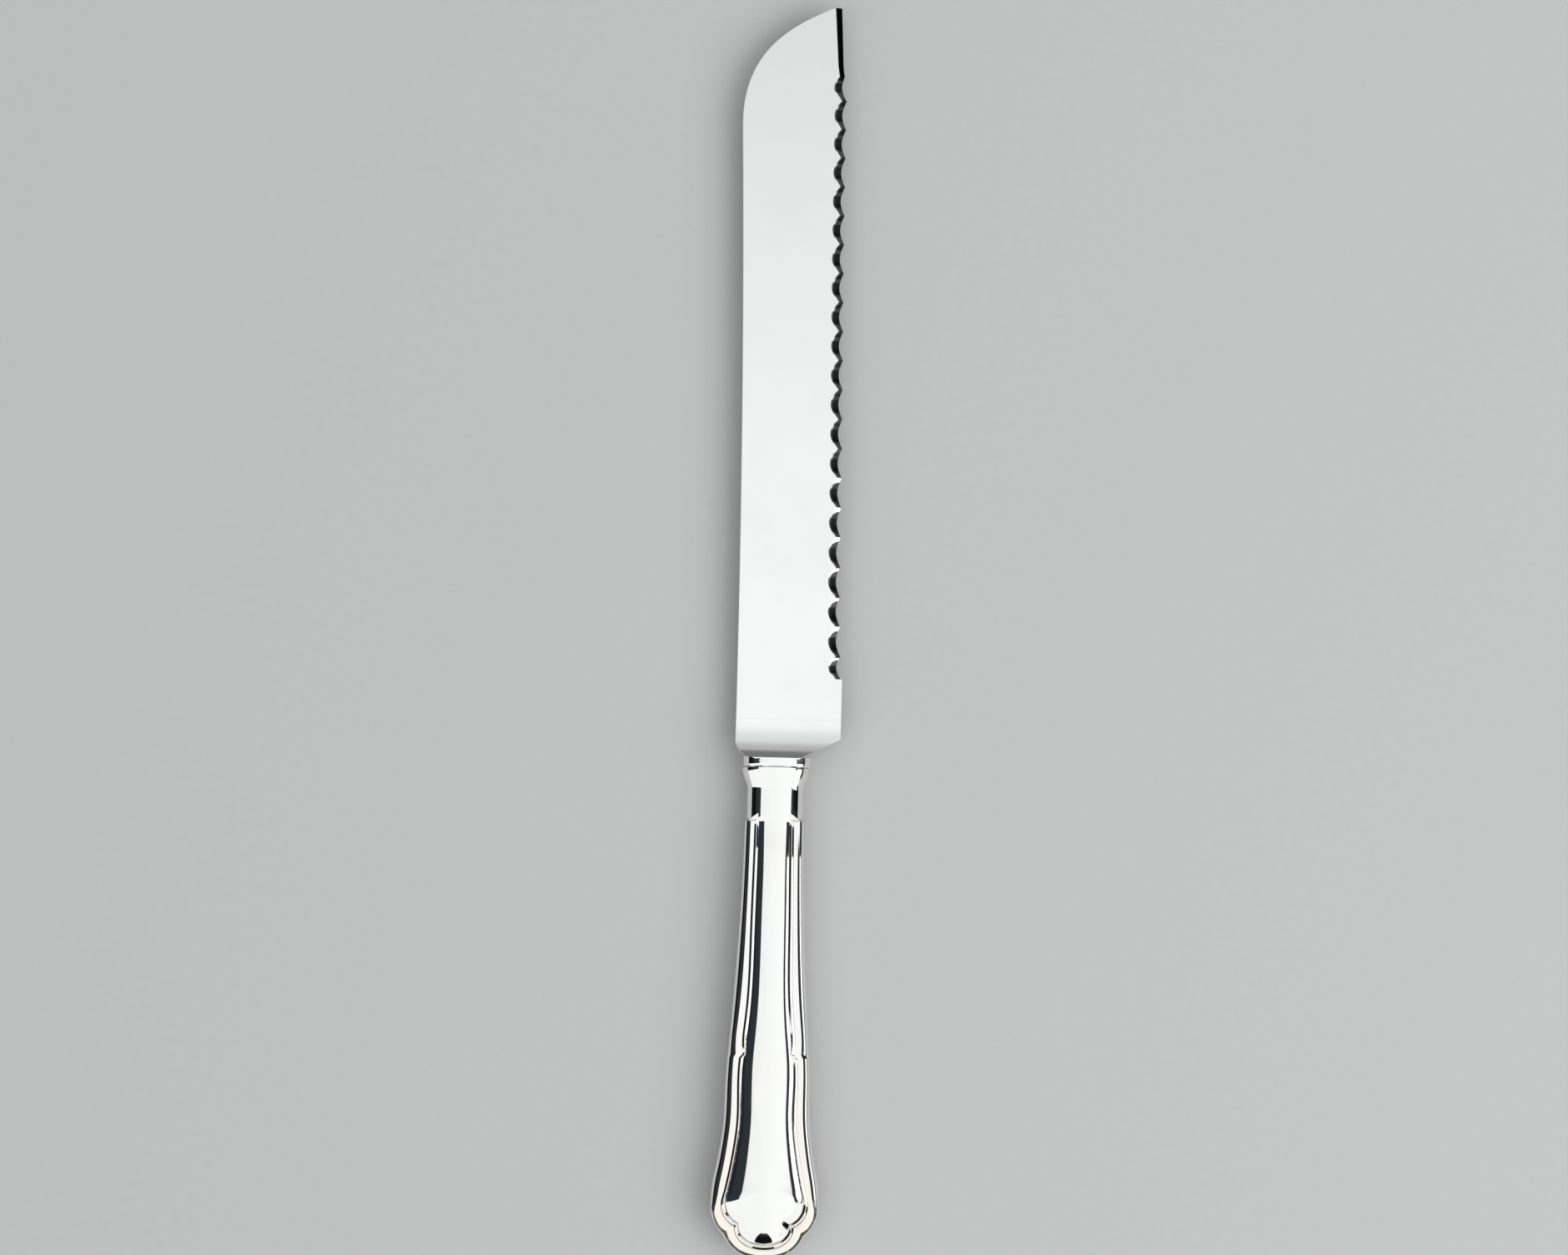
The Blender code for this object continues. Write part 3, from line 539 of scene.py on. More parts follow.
def body_quarter():
    """Right quarter of the handle's body, in rows of (x, place, height, tarnish with painted shade,
    border's painted warm reflection), and its axis.

    Near the shoulder all heights are a little less, by a bell-shaped share.
    """
    section = BodySection()
    section.add_wall()
    section.add_border()
    section.add_thread()
    section.add_dome()
    body = np.stack(section.columns, axis=1)
    near_shoulder = np.exp(-(((BODY_LENGTH - body[:, :, 1]) / SHOULDER_SINK_FADE) ** 2))
    body[:, :, 2] *= 1 - SHOULDER_SINK * near_shoulder
    return body, section.axis


def collar_quarter(shoulder):
    """The plain collar between the neck and the relief, in rows from its arched edge back to the shoulder.

    The arch falls off with the cube of the distance from the axis. The top is level across, no lower than
    the neck's oval, and blends down to the shoulder's own heights.
    """
    share = shoulder[:, 0] / shoulder[1, 0]
    arch = SHOULDER_ARCH * (1 - np.minimum(share / ARCH_END_SHARE, 1) ** 3)
    neck = NECK_HALF_HEIGHT * np.sqrt(np.maximum(1 - (shoulder[:, 0] / NECK_HALF_WIDTH) ** 2, 0))
    above_neck = smoothstep(*COLLAR_CLEARANCE, COLLAR_HEIGHT - neck)
    at_side = np.minimum(COLLAR_HEIGHT, shoulder[:, 2])
    crown = np.maximum(np.where(share > ARCH_END_SHARE, at_side, COLLAR_HEIGHT), neck)
    blend = COLLAR_BLEND + COLLAR_BLEND_GAIN * (1 - share) ** 2
    rows = []
    for out in (1.0, 0.985, 0.95, 0.88, 0.75, 0.6, 0.45, 0.3, 0.2, 0.1):
        row = shoulder.copy()
        row[:, 1] += arch * out
        row[:, 2] += (crown - row[:, 2]) * smoothstep(0, blend, out)
        rounding = COLLAR_ROUNDING * smoothstep(COLLAR_ROUNDING_START, 1.0, out)
        row[:, 2] -= rounding * np.minimum(row[:, 2], 1) * above_neck
        row[:, 3:] *= 1 - smoothstep(0, COLLAR_BLEND, out)
        rows.append(row)
    return np.stack(rows)


def neck_quarter(collar_edge):
    """Oval rows from the mouth's rim down the cup and neck, and up a rounded step to the collar's edge.

    The cup's flare follows a power of the cosine, from the rim to the neck.
    """
    polar = np.arctan2(collar_edge[:, 2] / collar_edge[-1, 2], collar_edge[:, 0] / collar_edge[1, 0])
    across, up = np.cos(polar), np.sin(polar)
    lip = SEAM_LIP * (np.arange(len(polar)) == 0)
    flare = RIM_HALF_WIDTH - NECK_HALF_WIDTH
    rise = RIM_HALF_HEIGHT - NECK_HALF_HEIGHT
    rows = []

    def add(place, half_width, half_height, tarnish_and_shade):
        x = half_width * across - lip
        marks = [tarnish_and_shade + 0 * polar, 0 * polar]
        marks[0][0] = SEAM_PATINA
        rows.append(np.stack([x, place + MOUTH_BOW * up**2, half_height * up, *marks], axis=-1))

    for turn in np.linspace(0, np.pi / 2, 5)[:-1]:
        inset = RIM_ROUNDING * (1 - np.sin(turn))
        place = MOUTH - RIM_ROUNDING * (1 - np.cos(turn))
        add(place, RIM_HALF_WIDTH - inset, RIM_HALF_HEIGHT - inset, RIM_PATINA * np.cos(turn))
    for down in np.linspace(0.03, 1, 24):
        part = np.cos(down * np.pi / 2) ** CUP_CURVE
        add(MOUTH - down * CUP_LENGTH, NECK_HALF_WIDTH + flare * part, NECK_HALF_HEIGHT + rise * part, 0.0)
    end = collar_edge[:, 1] + SHOULDER_STEP
    side_patina = RIM_PATINA * smoothstep(*NECK_PATINA_SHARES, across)
    for down in np.linspace(0, 1, 13)[1:]:
        tarnish_and_shade = side_patina * smoothstep(0.9, 1, down)
        add(MOUTH - CUP_LENGTH, NECK_HALF_WIDTH, NECK_HALF_HEIGHT, tarnish_and_shade)
        rows[-1][:, 1] += (end - rows[-1][:, 1]) * down
    last = rows[-1]
    for share in (0.25, 0.5, 0.75):
        turn = share * np.pi / 2
        row = last + (collar_edge - last) * (1 - np.cos(turn))
        row[:, 1] = last[:, 1] + (collar_edge[:, 1] - last[:, 1]) * np.sin(turn)
        rows.append(row)
    return np.stack(rows)


def shell_rings(outside, centre):
    """A shell's rings: the outside's right quarter and its mirror image, and both one wall in.

    Each ring runs up the outside on the right and down on the left, then back along the inside.
    """
    inside = outside.copy()
    reach = np.linalg.norm(outside[:, 0, :2] - centre, axis=-1)
    shrink = (SHELL_WALL / reach)[:, None, None]
    inside[:, :, :2] += (centre[:, None] - inside[:, :, :2]) * shrink
    inside[:, :, 2] = np.maximum(inside[:, :, 2] - SHELL_WALL, 0)
    inside[:, 0] = inside[:, 1]
    inside[:, :, 3:] = 0
    right = np.concatenate([outside, inside[:, ::-1]], axis=1)
    left = right * np.array([-1, 1, 1, 1, 1])
    count = outside.shape[1]
    ring = [right[:, :count], left[:, count - 2 :: -1], left[:, : count - 1 : -1], right[:, count + 1 :]]
    return np.concatenate(ring, axis=1)


def make_half(name, side, material, node):
    """One stamped half as a closed shell: outside, inside, and the rims at the seam and the mouth."""
    body, axis = body_quarter()
    collar = collar_quarter(body[0])
    neck = np.concatenate([neck_quarter(collar[0]), collar])
    neck_axis = np.stack([np.zeros(len(neck)), neck[:, 0, 1]], axis=-1)
    rings = shell_rings(np.concatenate([neck, body]), np.concatenate([neck_axis, axis]))
    rows, columns = rings.shape[:2]
    faces = ring_faces(rows, columns)
    for column in range(columns // 2 - 1):
        faces.append([column, column + 1, columns - 2 - column, columns - 1 - column])
    fields = rings.reshape(-1, 5)
    masks = {"tarnish_and_shade": fields[:, 3], "border": fields[:, 4]}
    mesh = new_mesh(name, fields[:, :3] * np.array([1, 1, side]), faces, masks)
    add_piece(mesh, "silver", material, HANDLE_SHARP_ANGLE, node)


def oval_rings(places, half_widths, half_heights, shift=0.0, bows=0.0, segments=96):
    """Oval sections square to the axis; a bow moves a section's middle towards the point."""
    angle = np.linspace(0, 2 * np.pi, segments, endpoint=False)
    sizes = np.broadcast_arrays(places, half_widths, half_heights, shift, bows)
    places, half_widths, half_heights, shift, bows = [size[..., None] for size in sizes]
    x = half_widths * np.cos(angle) + shift
    return np.stack([x, places + bows * np.sin(angle) ** 2, half_heights * np.sin(angle)], axis=-1)


def capped(rings, offset):
    """The faces of a loft through rings, with its two end caps, for points that start at an offset."""
    rows, columns = rings.shape[:2]
    faces = ring_faces(rows, columns)
    faces.append(list(range(columns)))
    faces.append(list(range((rows - 1) * columns, rows * columns)))
    return [[corner + offset for corner in face] for face in faces]


def spine_curve():
    """The blade's back near its point: a curve that leaves the spine and bends over to the point."""
    heading = np.radians(TIP_CURVE_HEADING)
    tip = np.array([EDGE_OFFSET - BEVEL_WIDTH - TIP_EDGE_SLANT - TIP_BEVEL_GAIN, BLADE_LENGTH])
    leave = tip - TIP_CURVE_PULL * np.array([np.cos(heading), np.sin(heading)])
    spine = np.array([-SPINE_OFFSET, BLADE_LENGTH - TIP_CURVE_LENGTH])
    return bezier(tip, leave, spine + np.array([0, SPINE_CURVE_PULL]), spine, np.linspace(0, 1, 120))


def spine_line(place):
    """The spine's x by distance from the heel: heel corner arc, straight, then the curve to the point."""
    arc = np.clip(HEEL_CORNER_RADIUS - place, 0, HEEL_CORNER_RADIUS)
    corner = HEEL_CORNER_RADIUS - np.sqrt(HEEL_CORNER_RADIUS**2 - arc**2)
    curve = spine_curve()[::-1]
    return np.interp(place, curve[:, 1], curve[:, 0], left=-SPINE_OFFSET) + corner


def tooth_points():
    """Distances from the heel at which each scallop ends, a little closer together towards the point."""
    count = np.arange(SCALLOP_COUNT - 1)
    inner = FIRST_POINT + FIRST_PITCH * count - PITCH_FALL * count**2
    return np.concatenate([[UNSERRATED_LENGTH], inner, [SERRATION_END]])


def edge_shift(place):
    """How far the toothed edge stands out: slightly in at mid blade, out by a parabola at either end."""
    heel = EDGE_HEEL_GAIN * np.clip(EDGE_HEEL_REACH - place, 0, None) ** 2
    tip = EDGE_TIP_GAIN * np.clip(place - EDGE_TIP_REACH, 0, None) ** 2
    return (heel + tip - EDGE_HOLLOW) * smoothstep(*EDGE_TIP_FADE, place)


def edge_lines(place):
    """x of the cutting side by distance from the heel: where the front face ends, and the silhouette.

    Each scallop is half a sine wave. The third array is how far along its scallop each place is, from 0
    to 1.
    """
    chamfer_width = HEEL_EDGE_OFFSET - HEEL_FLAT_HALF_WIDTH
    chamfer = HEEL_FLAT_HALF_WIDTH + chamfer_width * place / HEEL_CHAMFER_LENGTH
    heel = np.minimum(np.maximum(chamfer, HEEL_FLAT_HALF_WIDTH), HEEL_EDGE_OFFSET)
    points = tooth_points()
    along = np.interp(place, points, np.arange(len(points))) % 1.0
    unserrated = place <= UNSERRATED_LENGTH
    toothed = ~unserrated & (place < SERRATION_END)
    hollow = np.where(toothed, np.sin(np.pi * along), 0)
    plain = np.clip((place - SERRATION_END) / (BLADE_LENGTH - SERRATION_END), 0, 1)
    edge = EDGE_OFFSET - TIP_EDGE_SLANT * plain + edge_shift(place)
    face = edge - BEVEL_WIDTH - TIP_BEVEL_GAIN * plain
    face = np.where(unserrated, heel, face - SCALLOP_FACE_DEPTH * hollow)
    return face, np.where(unserrated, heel, edge - SCALLOP_EDGE_DEPTH * hollow), along


def blade_places():
    """Distances from the heel, close together round the heel, at the scallops and round the point."""
    points = tooth_points()
    scallops = np.interp(np.arange(0, SCALLOP_COUNT, 1 / SCALLOP_SECTIONS), np.arange(len(points)), points)
    heel = HEEL_CORNER_RADIUS * (1 - np.cos(np.linspace(0, np.pi / 2, 16)))
    ramp = np.linspace(0, RAMP_LENGTH, 60)
    crease = [RAMP_LENGTH - CREASE_WIDTH, RAMP_LENGTH + CREASE_WIDTH]
    ends = [HEEL_CHAMFER_LENGTH, UNSERRATED_LENGTH + 0.001, SERRATION_END]
    curve = spine_curve()[2:, 1]
    point = BLADE_LENGTH - np.array([0.4, 0.15, 0.04])
    places = [heel, ramp, crease, ends, scallops, curve, point]
    return np.unique(np.concatenate(places).round(4))


def blade_rings():
    """The blade's sections: flat faces with fine arrises, and a deep bevel in front of a small one.

    At the heel the faces rise from a slight crease, by a straight share and a parabola, to the bolster's
    height. A first, smaller section lies hidden in the bolster. The second array marks the bevel, which
    the steel roughens and colours near-black as painted dark reflection, leaving out a painted highlight
    flank on scallops near the heel.
    """
    place = blade_places()
    face, edge, along = edge_lines(place)
    spine = spine_line(place)
    climb = np.clip(1 - place / RAMP_LENGTH, 0, 1)
    climb = RAMP_STRAIGHT_SHARE * climb + (1 - RAMP_STRAIGHT_SHARE) * climb**2
    rise = (RIM_HALF_HEIGHT - BLADE_HALF_THICKNESS) * climb
    half = BLADE_HALF_THICKNESS + rise
    sweep = np.clip(place - SWEEP_START, 0, None) ** 2 / (2 * SWEEP_RADIUS)
    serrated = place > UNSERRATED_LENGTH
    arris = np.minimum(ARRIS + ARRIS_GROWTH * rise, (face - spine) / 3)
    drop = np.where(serrated, BEVEL_DROP, arris)
    face = np.where(serrated, face, face - arris)
    back = np.where(serrated, edge - BACK_BEVEL_WIDTH, edge - arris)
    back_height = np.where(serrated, -half, arris - half)
    back_low = np.where(serrated, back - BACK_STEP, back)
    corners = [
        (spine + arris, half), (face, half), (edge, half - drop),
        (np.where(serrated, back, edge), back_height), (back_low, -half),
        (spine + arris, -half), (spine, arris - half), (spine, half - arris),
    ]
    rings = np.stack([np.stack([x - sweep, HEEL + place, z], axis=-1) for x, z in corners], axis=1)
    hidden = rings[:1] * np.array(HIDDEN_HEEL_SCALE) - np.array([0, HIDDEN_HEEL_DEPTH, 0])
    # Painted highlight: near the heel each scallop's point-side flank is left out of the bevel's dark
    # colour.
    bright = smoothstep(*PAINTED_HIGHLIGHT_FLANK, along) * smoothstep(*PAINTED_HIGHLIGHT_FADE, place)
    ground_and_painted_dark = np.zeros(rings.shape[:2])
    ground_and_painted_dark[serrated, 2:4] = (1 - bright[serrated])[:, None]
    return np.concatenate([hidden, rings]), np.concatenate([ground_and_painted_dark[:1], ground_and_painted_dark])


def bolster_rings():
    """The bolster's short oval neck, rounded at the mouth and flared by a parabola towards the blade."""
    turn = np.linspace(0, 1, BOLSTER_SECTIONS)
    rounding = np.zeros(BOLSTER_SECTIONS)
    arc = np.linspace(0, np.pi / 2, BOLSTER_ROUNDING_SECTIONS)
    rounding[:BOLSTER_ROUNDING_SECTIONS] = BOLSTER_ROUNDING * (1 - np.sin(arc))
    flare = BOLSTER_FLARE * turn**2 - rounding
    return oval_rings(
        MOUTH + MOUTH_GAP + BOLSTER_LENGTH * turn,
        RIM_HALF_WIDTH + flare,
        RIM_HALF_HEIGHT + flare,
        shift=BOLSTER_SHIFT,
        bows=MOUTH_BOW * (1 - turn),
    )


def make_blade(material):
    """Blade, bolster, plug and tang, forged in one: lofts that run into one another."""
    blade, ground_and_painted_dark = blade_rings()
    plug_ends = np.array([MOUTH + MOUTH_GAP + BOLSTER_LENGTH / 2, MOUTH - PLUG_LENGTH])
    plug = oval_rings(plug_ends, NECK_HALF_WIDTH - PLUG_INSET, NECK_HALF_HEIGHT - PLUG_INSET)
    tang_start = MOUTH - PLUG_LENGTH + TANG_OVERLAP
    tang = oval_rings(np.array([tang_start, tang_start - TANG_LENGTH]), TANG_RADII, TANG_RADII)
    points, faces, marks = [], [], []
    for rings in (blade, bolster_rings(), plug, tang):
        faces += capped(rings, sum(len(block) for block in points))
        points.append(rings.reshape(-1, 3))
        marks.append(ground_and_painted_dark.ravel() if rings is blade else np.zeros(len(points[-1])))
    masks = {"ground_and_painted_dark": np.concatenate(marks)}
    mesh = new_mesh("blade_forging", np.concatenate(points), faces, masks)
    add_piece(mesh, "stainless_steel", material, BLADE_SHARP_ANGLE, "blade")


class Nodes:
    """A node tree with short ways to add and join its nodes."""

    def __init__(self, tree):
        self.tree = tree
        self.tree.nodes.clear()

    def put(self, socket, value):
        """Links a socket to an input, or sets the input to a value."""
        if isinstance(value, bpy.types.NodeSocket):
            self.tree.links.new(value, socket)
        else:
            socket.default_value = value

    def add(self, kind, inputs=None, **settings):
        """Adds a node with its settings and its inputs."""
        node = self.tree.nodes.new(kind)
        for name, value in settings.items():
            setattr(node, name, value)
        for name, value in (inputs or {}).items():
            self.put(node.inputs[name], value)
        return node

    def math(self, operation, *values):
        """The result of a maths operation on sockets or values."""
        inputs = dict(enumerate(values))
        return self.add("ShaderNodeMath", inputs, operation=operation).outputs[0]

    def product(self, first, *others):
        """All the values multiplied together."""
        for value in others:
            first = self.math("MULTIPLY", first, value)
        return first

    def step(self, value, low, high, start=0.0, end=1.0):
        """A smooth change from start to end as a value goes from low to high."""
        inputs = {"Value": value, "From Min": low, "From Max": high, "To Min": start, "To Max": end}
        return self.add("ShaderNodeMapRange", inputs, interpolation_type="SMOOTHSTEP").outputs[0]

    def mix(self, factor, first, second):
        """A colour between two, by the inputs that the mixing node has for colours."""
        node = self.add("ShaderNodeMix", data_type="RGBA")
        for index, value in ((0, factor), (6, first), (7, second)):
            self.put(node.inputs[index], value)
        return node.outputs[2]

    def noise(self, vector, stretch, scale, detail=4.0, roughness=0.6):
        """Noise on a vector that is stretched first, as (x, y, z) factors."""
        mapped = self.add("ShaderNodeMapping", {"Vector": vector, "Scale": stretch})
        inputs = {"Vector": mapped.outputs[0], "Scale": scale, "Detail": detail, "Roughness": roughness}
        return self.add("ShaderNodeTexNoise", inputs).outputs["Fac"]

    def attribute(self, name):
        """A mask that the mesh carries."""
        return self.add("ShaderNodeAttribute", attribute_name=name).outputs["Fac"]


def new_material(name):
    """A material with its nodes, the place on the object, and the output."""
    material = bpy.data.materials.new(name)
    material.use_nodes = True
    nodes = Nodes(material.node_tree)
    place = nodes.add("ShaderNodeTexCoord").outputs["Object"]
    output = nodes.add("ShaderNodeOutputMaterial")
    return material, nodes, place, output


def finish_material(nodes, output, inputs, height, strength, distance=0.00002):
    """Joins colour, roughness and fine relief in one shader."""
    bump = nodes.add("ShaderNodeBump", {"Height": height, "Strength": strength, "Distance": distance})
    shader = nodes.add("ShaderNodeBsdfPrincipled", {**inputs, "Normal": bump.outputs[0]})
    nodes.tree.links.new(shader.outputs[0], output.inputs["Surface"])


def silver_material():
    """Polished silver, finely scratched, with brown tarnish in its grooves; the border is warmer, a
    painted warm reflection, and the tarnish colour also paints shade on the thread's inner flank over the
    hip.
    """
    material, nodes, place, output = new_material("silver")
    scratches = nodes.noise(place, (1.0, 0.02, 1.0), 9000.0, 2.0)
    crossing = nodes.noise(place, (0.06, 1.0, 1.0), 5000.0, 2.0)
    cloud = nodes.noise(place, (1.0, 1.0, 1.0), 60.0)
    patches = nodes.noise(place, (1.0, 1.0, 1.0), 900.0)
    along = nodes.add("ShaderNodeSeparateXYZ", {"Vector": place}).outputs["Y"]
    # The tarnish mask also holds painted shade on the thread's inner flank over the hip.
    patchy_tarnish_and_shade = nodes.product(nodes.attribute("tarnish_and_shade"), nodes.step(patches, 0.25, 0.6, 0.55, 1.0))
    tarnish = nodes.step(patchy_tarnish_and_shade, 0.15, 0.95)
    # Painted warm reflection: the border gets a warmer silver, warmest towards the pommel.
    border = nodes.mix(nodes.step(along, *PAINTED_WARM_BORDER_FADE), POMMEL_BORDER_PAINTED_WARM, BORDER_SILVER_PAINTED_WARM)
    clean = nodes.mix(nodes.attribute("border"), SILVER, border)
    clean = nodes.mix(nodes.step(cloud, 0.45, 0.8, 0.0, 0.35), clean, DULLED_SILVER)
    tarnish_and_shade_colour = nodes.mix(nodes.step(along, *BROWN_TARNISH_FADE), POMMEL_TARNISH_AND_SHADE, TARNISH_AND_SHADE)
    colour = nodes.mix(nodes.product(tarnish, TARNISH_AND_SHADE_COVER), clean, tarnish_and_shade_colour)
    rubbed = nodes.step(scratches, 0.45, 0.75, 0.025, 0.06)
    polish = nodes.math("ADD", rubbed, nodes.step(cloud, 0.4, 0.7, 0, 0.015))
    rough = nodes.math("MULTIPLY_ADD", tarnish, 0.25, polish)
    relief = nodes.math("ADD", scratches, nodes.product(crossing, 0.5))
    inputs = {"Base Color": colour, "Roughness": rough, "Metallic": 1.0}
    finish_material(nodes, output, inputs, relief, 0.02)
    return material


def steel_material():
    """Polished stainless steel, brushed across, with a coarser bevel coloured near-black, a painted dark
    reflection.
    """
    material, nodes, place, output = new_material("stainless_steel")
    brushed = nodes.noise(place, (0.03, 1.0, 1.0), 9000.0, 2.0)
    strokes = nodes.noise(place, (1.0, 0.05, 1.0), 2500.0, 3.0)
    cloud = nodes.noise(place, (1.0, 1.0, 1.0), 45.0)
    grinding = nodes.noise(place, (0.05, 1.0, 0.05), 14000.0, 2.0)
    ground_and_painted_dark = nodes.step(nodes.attribute("ground_and_painted_dark"), 0.02, 0.3)
    face = nodes.mix(nodes.step(cloud, 0.35, 0.75), STEEL, CLOUDED_STEEL)
    # Painted dark reflection: the bevel is near-black steel, streaked by the grinding noise.
    painted_dark_bevel = nodes.mix(grinding, GROUND_PAINTED_DARK_STEEL, SCRATCHED_PAINTED_DARK_STEEL)
    colour = nodes.mix(ground_and_painted_dark, face, painted_dark_bevel)
    rubbed = nodes.step(brushed, 0.4, 0.75, 0.09, 0.14)
    polish = nodes.math("ADD", rubbed, nodes.step(cloud, 0.4, 0.7, 0, 0.03))
    rough = nodes.math("MULTIPLY_ADD", ground_and_painted_dark, 0.05, polish)
    relief = nodes.math("ADD", brushed, nodes.product(strokes, 0.5))
    inputs = {"Base Color": colour, "Roughness": rough, "Metallic": 1.0}
    finish_material(nodes, output, inputs, relief, 0.02)
    return material


def solder_material():
    """Dull grey solder with a rippled skin."""
    material, nodes, place, output = new_material("solder")
    ripples = nodes.noise(place, (1.0, 1.0, 1.0), 1800.0)
    colour = nodes.mix(ripples, SOLDER, BRIGHT_SOLDER)
    rough = nodes.step(ripples, 0.3, 0.7, 0.35, 0.55)
    inputs = {"Base Color": colour, "Roughness": rough, "Metallic": 1.0}
    finish_material(nodes, output, inputs, ripples, 0.3, 0.0001)
    return material


def cement_material():
    """Brown resinous cement with grit and pits."""
    material, nodes, place, output = new_material("cement")
    grit = nodes.noise(place, (1.0, 1.0, 1.0), 2600.0, 6.0)
    stain = nodes.noise(place, (1.0, 1.0, 1.0), 180.0)
    colour = nodes.mix(stain, CEMENT, PALE_CEMENT)
    colour = nodes.mix(nodes.step(grit, 0.55, 0.75, 0.0, 0.6), colour, CEMENT_GRIT)
    inputs = {"Base Color": colour, "Roughness": nodes.step(grit, 0.3, 0.7, 0.75, 0.95)}
    finish_material(nodes, output, inputs, grit, 0.5, 0.0002)
    return material


def table_material():
    """Plain pale grey table."""
    material, nodes, place, output = new_material("table")
    speckle = nodes.noise(place, (1.0, 1.0, 1.0), 500.0, 5.0)
    colour = nodes.mix(speckle, TABLE, TABLE_SPECKLE)
    inputs = {"Base Color": colour, "Roughness": nodes.step(speckle, 0.3, 0.7, 0.8, 0.9)}
    finish_material(nodes, output, inputs, speckle, 0.1, 0.0002)
    return material


def make_table(material):
    """A wide flat table under the knife."""
    half = TABLE_HALF_WIDTH
    corners = [(-half, -half, 0), (half, -half, 0), (half, half, 0), (-half, half, 0)]
    mesh = bpy.data.meshes.new("table")
    mesh.from_pydata(corners, [], [(0, 1, 2, 3)])
    mesh.materials.append(material)
    table = bpy.data.objects.new("table", mesh)
    bpy.context.scene.collection.objects.link(table)


def overhead_strip(nodes, eastward, northward):
    """A white strip overhead, along the knife: it dims just north of upright, and fades northwards."""
    from_middle = nodes.math("ABSOLUTE", nodes.math("SUBTRACT", eastward, STRIP_MIDDLE))
    width = nodes.step(from_middle, *STRIP_EDGE, 1, 0)
    fall = nodes.step(northward, *STRIP_FALL)
    level = nodes.math("MAXIMUM", fall, nodes.step(northward, *STRIP_RECOVERY))
    fades = [nodes.step(northward, low, high, 1.0, share) for low, high, share in STRIP_FADES]
    return nodes.product(width, level, *fades, nodes.step(eastward, *STRIP_LEAN))


def southern_end(nodes, bearing, from_top):
    """1 above the southern wall's lower end and 0 below it: the end is highest due south."""
    off_south = nodes.math("ABSOLUTE", nodes.math("ADD", bearing, 90.0))
    at_sides = nodes.step(off_south, *SOUTH_END_AT_SIDES)
    end = nodes.math("ADD", nodes.step(off_south, *SOUTH_END_BESIDE), at_sides)
    return nodes.step(nodes.math("SUBTRACT", from_top, end), -SOUTH_END_BLUR, SOUTH_END_BLUR, 1, 0)


def southern_wall(nodes, bearing, from_top):
    """A white wall on the pommel's side between two bearings, but for a dark corner low in the east."""
    low_east = nodes.product(nodes.step(bearing, *LOW_EAST_BEARING), nodes.step(from_top, *LOW_EAST_START))
    return nodes.product(
        nodes.step(bearing, *SOUTH_EAST_LIMIT, 1, 0),
        nodes.step(bearing, *SOUTH_WEST_LIMIT),
        nodes.math("SUBTRACT", 1.0, low_east),
        SOUTH_LEVEL,
    )


def low_flash(nodes, bearing, from_top):
    """A small bright patch low in the north-east."""
    sides = [nodes.step(bearing, *FLASH_BEARING[0]), nodes.step(bearing, *FLASH_BEARING[1], 1, 0)]
    ends = [nodes.step(from_top, *FLASH_FROM_TOP[0]), nodes.step(from_top, *FLASH_FROM_TOP[1], 1, 0)]
    return nodes.product(*sides, *ends, FLASH_LEVEL)


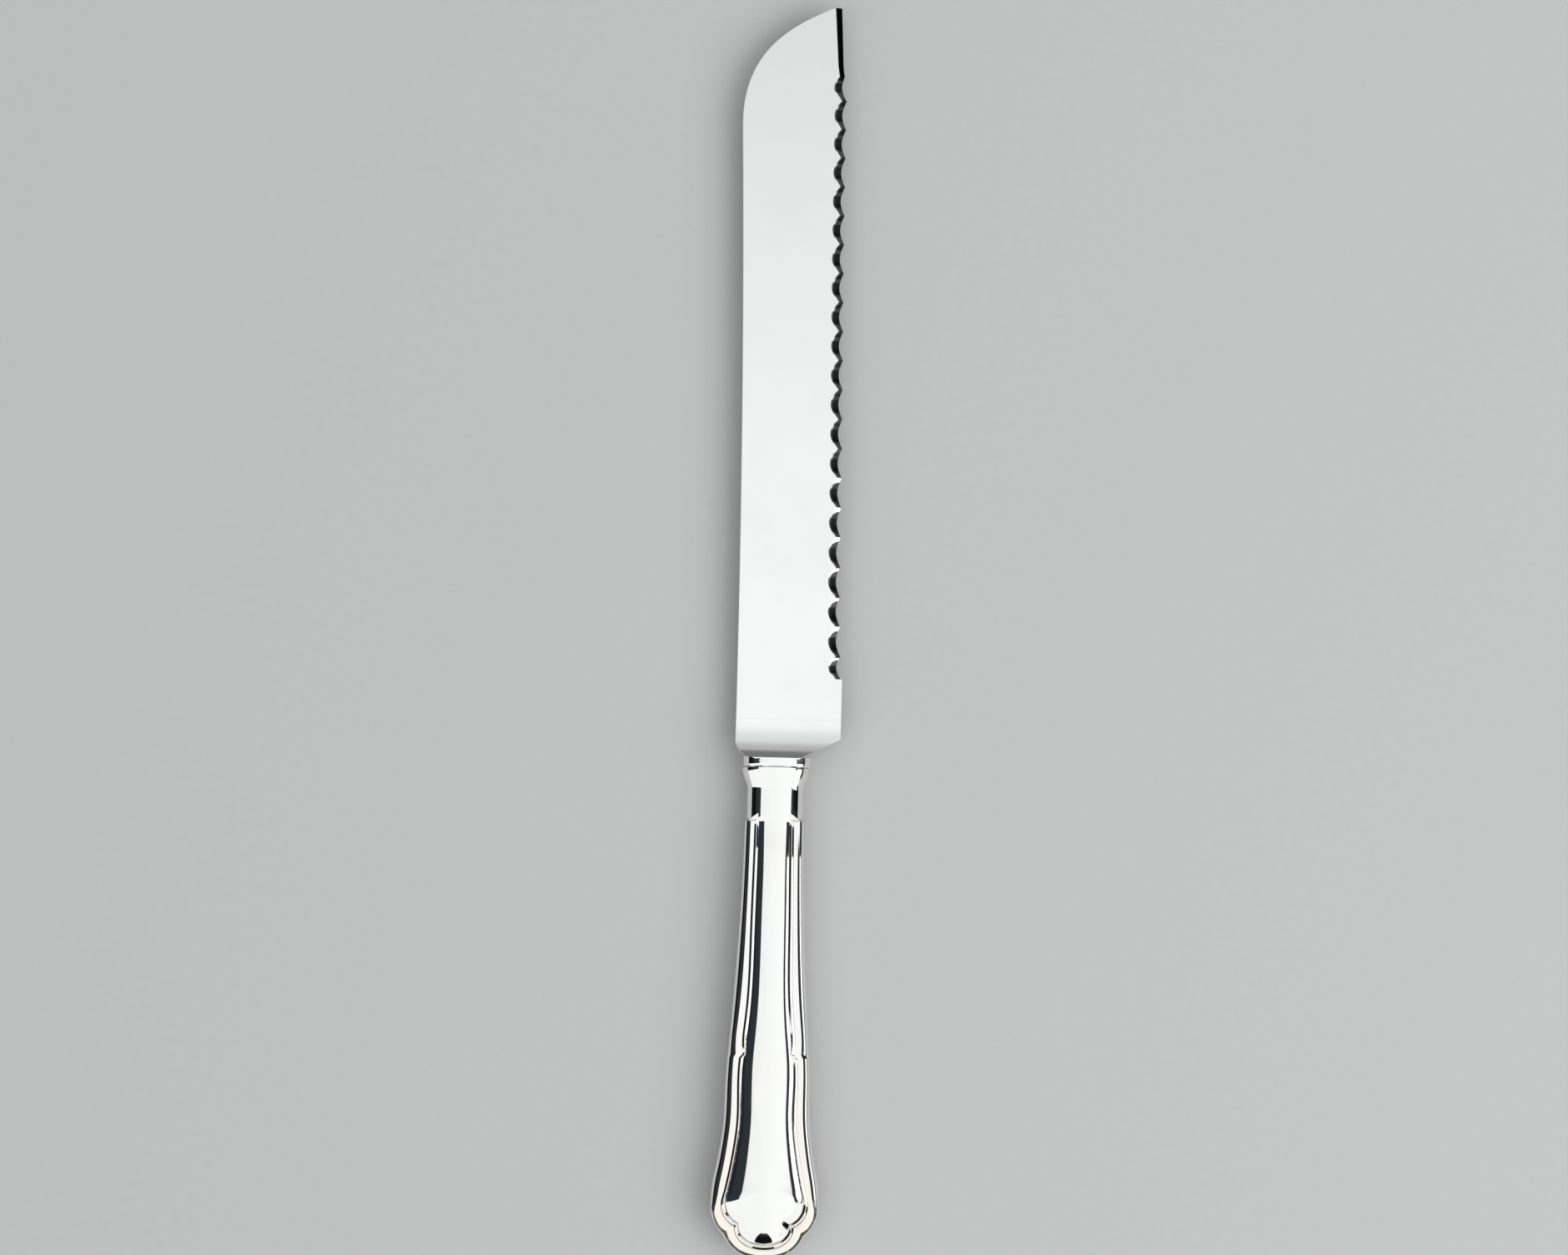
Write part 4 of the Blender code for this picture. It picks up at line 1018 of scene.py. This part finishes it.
def make_world():
    """A soft studio by direction: a white strip overhead, a white wall in the south, and dark walls."""
    world = bpy.data.worlds.new("studio")
    bpy.context.scene.world = world
    world.use_nodes = True
    nodes = Nodes(world.node_tree)
    direction = nodes.add("ShaderNodeTexCoord").outputs["Generated"]
    east, north, up = nodes.add("ShaderNodeSeparateXYZ", {"Vector": direction}).outputs

    def angle(side, ahead):
        return nodes.product(nodes.math("ARCTAN2", side, ahead), 180 / np.pi)

    northward = angle(north, up)
    bearing = angle(north, east)
    from_top = nodes.product(nodes.math("ARCCOSINE", up), 180 / np.pi)
    above_end = southern_end(nodes, bearing, from_top)
    strip_kept = nodes.math("MAXIMUM", above_end, nodes.step(northward, *SOUTH_START))
    strip = nodes.product(overhead_strip(nodes, angle(east, up), northward), strip_kept)
    south = nodes.product(southern_wall(nodes, bearing, from_top), above_end)
    white = nodes.math("MAXIMUM", nodes.math("MAXIMUM", strip, south), low_flash(nodes, bearing, from_top))
    dark = nodes.mix(nodes.step(from_top, *LOW_DARK_START), DARK_WALL, LOW_DARK_WALL)
    white_colour = nodes.add("ShaderNodeCombineXYZ", {"X": white, "Y": white, "Z": white}).outputs[0]
    light = nodes.add("ShaderNodeVectorMath", {0: dark, 1: white_colour}, operation="ADD").outputs[0]
    background = nodes.add("ShaderNodeBackground", {"Color": light, "Strength": 1.0})
    output = nodes.add("ShaderNodeOutputWorld")
    nodes.tree.links.new(background.outputs[0], output.inputs["Surface"])


def add_area_lamp(name, place, target, size, radiance, reflected):
    """A soft rectangular lamp that faces a target; its power gives it the radiance named.

    A lamp either shows in reflections and lights nothing matt, or lights what is matt and shows nowhere.
    """
    lamp = bpy.data.lights.new(name, "AREA")
    lamp.shape = "RECTANGLE"
    width, height = size
    lamp.size = width
    lamp.size_y = height
    lamp.energy = radiance * 4 * width * height
    obj = bpy.data.objects.new(name, lamp)
    bpy.context.scene.collection.objects.link(obj)
    obj.location = place
    aim = Vector(target) - Vector(place)
    obj.rotation_euler = aim.to_track_quat("-Z", "Y").to_euler()
    obj.visible_camera = False
    obj.visible_glossy = reflected
    obj.visible_diffuse = not reflected


def make_camera():
    """A camera straight above the knife, turned slightly as in the photograph."""
    camera = bpy.data.cameras.new("camera")
    camera.sensor_fit = "HORIZONTAL"
    camera.sensor_width = 36
    camera.lens = LENS
    camera.clip_start = 0.01
    camera.clip_end = 50
    obj = bpy.data.objects.new("camera", camera)
    bpy.context.scene.collection.objects.link(obj)
    obj.location = (*CAMERA_PLACE, SEAM + CAMERA_HEIGHT)
    obj.rotation_euler = (0, 0, np.radians(CAMERA_TURN))
    bpy.context.scene.camera = obj


silver = silver_material()
steel = steel_material()
make_half("handle_front", 1, silver, "handle_front_shell")
make_half("handle_back", -1, silver, "handle_back_shell")
make_blade(steel)
repaint("seam_solder", solder_material())
repaint("cement_filling", cement_material())
make_table(table_material())
make_world()
add_area_lamp("side_card", SIDE_CARD_PLACE, SIDE_CARD_AIM, SIDE_CARD_SIZE, SIDE_CARD_RADIANCE, True)
add_area_lamp("soft_box", SOFT_BOX_PLACE, SOFT_BOX_AIM, SOFT_BOX_SIZE, SOFT_BOX_RADIANCE, False)
make_camera()
bpy.context.scene.view_settings.view_transform = "Standard"
